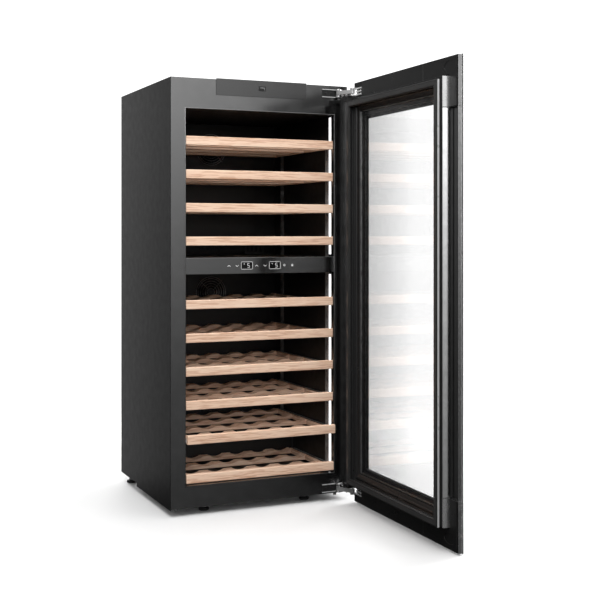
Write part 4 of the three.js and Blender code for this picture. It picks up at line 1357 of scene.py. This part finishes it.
def make_pipes():
    """Copper from the compressor to the condenser, and from there to the filter drier."""
    pot_x, pot_y, _ = place_of("compressor")
    y = middle(place_of("condenser")[1])
    beside = COIL_HALF + 14
    stub = [(middle(pot_x) + 30, middle(pot_y) + reach, STUB_LEVEL) for reach in STUB_REACHES]
    discharge = [*stub, (beside, DISCHARGE_Y, PIPE_LEVEL), (beside, y, PIPE_RISE), (beside, y, COIL_TOP)]
    discharge.append((COIL_HALF, y, COIL_TOP))
    liquid = [(-COIL_HALF, y, COIL_LOWEST), (-beside, y, COIL_LOWEST), (-beside, y, PIPE_RISE)]
    liquid += [(-beside, DRIER_PLACE[1], PIPE_LEVEL), (LIQUID_END, DRIER_PLACE[1], PIPE_LEVEL)]
    pipes = Shape().tube(fillet(discharge, PIPE_BEND), DISCHARGE_RADIUS, 10)
    pipes.tube(fillet(liquid, PIPE_BEND), LIQUID_RADIUS, 10)
    pipes.done("refrigerant_pipes", "copper", ROOT, "black_steel")
    drier = Shape().lathe(DRIER_PROFILE, DRIER_PLACE, "X", sides=24)
    drier.done("filter_drier", "copper", ROOT, "black_steel")


DRIP_X, DRIP_Y = (50, 170), (120, 215)
DRIP_WALL, DRIP_DEPTH = 2, 17


def make_drip_tray():
    """A shallow tray over the compressor, where its warmth dries the meltwater."""
    top = place_of("liner_floor")[2][1] - 4
    floor = top - DRIP_DEPTH
    outer = rounded(DRIP_X, DRIP_Y, 10)
    inner = rounded(inward(DRIP_X, DRIP_WALL), inward(DRIP_Y, DRIP_WALL), 8)
    tray = Shape().plate([outer, inner], "Z", floor + DRIP_WALL, top)
    tray.plate([outer], "Z", floor, floor + DRIP_WALL + 0.1)
    tray.done("drip_tray", "tray_plastic", ROOT, "liner_plastic", bevel=0.5)


INLET_PINS = ((-6, 1), (0, -3), (6, 1))


def make_inlet():
    """The power inlet: a soft-cornered housing with three pins in its socket."""
    x, y, z = place_of("power_inlet")
    soften("power_inlet", "relay", 1.4, 3)
    pins = Shape()
    for across, up in INLET_PINS:
        pins.box(about(middle(x) + across, 1), (y[0] + 8, y[1] - 5), about(middle(z) + up, 2.6))
    pins.done("inlet_pins", "screw", ROOT, "inlet_plastic", bevel=0.4)


COVER_SCREW_X, FLANGE_SCREW_X = 262, 268
COVER_SCREW_LEVELS = range(200, 1151, 190)
FLANGE_SCREW_LEVELS = (50, 400, 800, 1180)


def make_case_screws():
    """Screws of the rear cover and of the case's back flanges."""
    screws = Shape()
    cover = place_of("rear_cover")[1][0] + SHEET
    back = place_of("side_panel_left")[1][1]
    for sign in SIDES.values():
        for level in COVER_SCREW_LEVELS:
            screws.screw((sign * COVER_SCREW_X, cover, level), "Y", 4, sign=-1)
        for level in FLANGE_SCREW_LEVELS:
            screws.screw((sign * FLANGE_SCREW_X, back, level), "Y", 3.6, sign=-1)
    screws.done("case_screws", "screw", ROOT, "galvanised_steel")


PAD_PROFILE = ((1, 0), (13.2, 0), (14.4, 0.7), (15, 2), (15, 6), (14, 7.4), (10, 8.6), (8.6, 9.6), (1, 9.6))
COLLAR_LOW, COLLAR_RADIUS = 9.4, 8
STEM_TALL, THREAD_TALL, THREAD_PITCH = 15.4, 15, 1.25
THREAD_TURN = ((4.2, 0.1), (4.9, 0.6), (4.2, 1.15))  # root, crest and root, above the turn's start


def make_foot(node):
    """A rubber pad, a hexagon collar and a threaded stem."""
    x, y, z = place_of(node)
    base = (middle(x), middle(y), z[0])
    pad = Shape().lathe(PAD_PROFILE, base, "Z", sides=36)
    pad.done(f"{node}_pad", "foot", node, "foot_plastic", replaces=[node])
    top = z[1] - z[0] - STEM_TALL - 1
    collar = ((1, COLLAR_LOW), (COLLAR_RADIUS, COLLAR_LOW), (COLLAR_RADIUS, top), (1, top))
    thread = [(1, top)]
    for i in range(int(THREAD_TALL / THREAD_PITCH)):
        low = top + i * THREAD_PITCH
        thread += section_at(THREAD_TURN, low)
    stem = Shape().lathe(collar, base, "Z", sides=6)
    stem.lathe([*thread, (1, top + STEM_TALL)], base, "Z", sides=20)
    stem.done(f"{node}_stem", "zinc", node, "foot_plastic")


make_camera()
make_world()
for light_name, (light_place, light_target, light_size, light_power) in LIGHTS.items():
    make_light(light_name, light_place, light_target, light_size, light_power)
make_floor()
soften_nodes()
make_front_details()
make_return_grille()
make_marks()
make_digits()
for rack_name in RACKS:
    make_rack(rack_name)
for side_name in SIDES:
    make_runners(side_name)
for zone_name in ENDS:
    for side_name in SIDES:
        make_light_strip(zone_name, side_name)
    make_fan(zone_name)
    make_bracket(zone_name)
    make_link(zone_name)
    make_leaf(zone_name)
make_door_frame()
make_cover_edges()
make_grip()
make_glass_border()
make_condenser()
make_compressor()
make_pipes()
make_drip_tray()
make_inlet()
make_case_screws()
for node_name in frame["nodes"]:
    if node_name.startswith("foot_"):
        make_foot(node_name)
bpy.context.scene.view_settings.view_transform = "Standard"
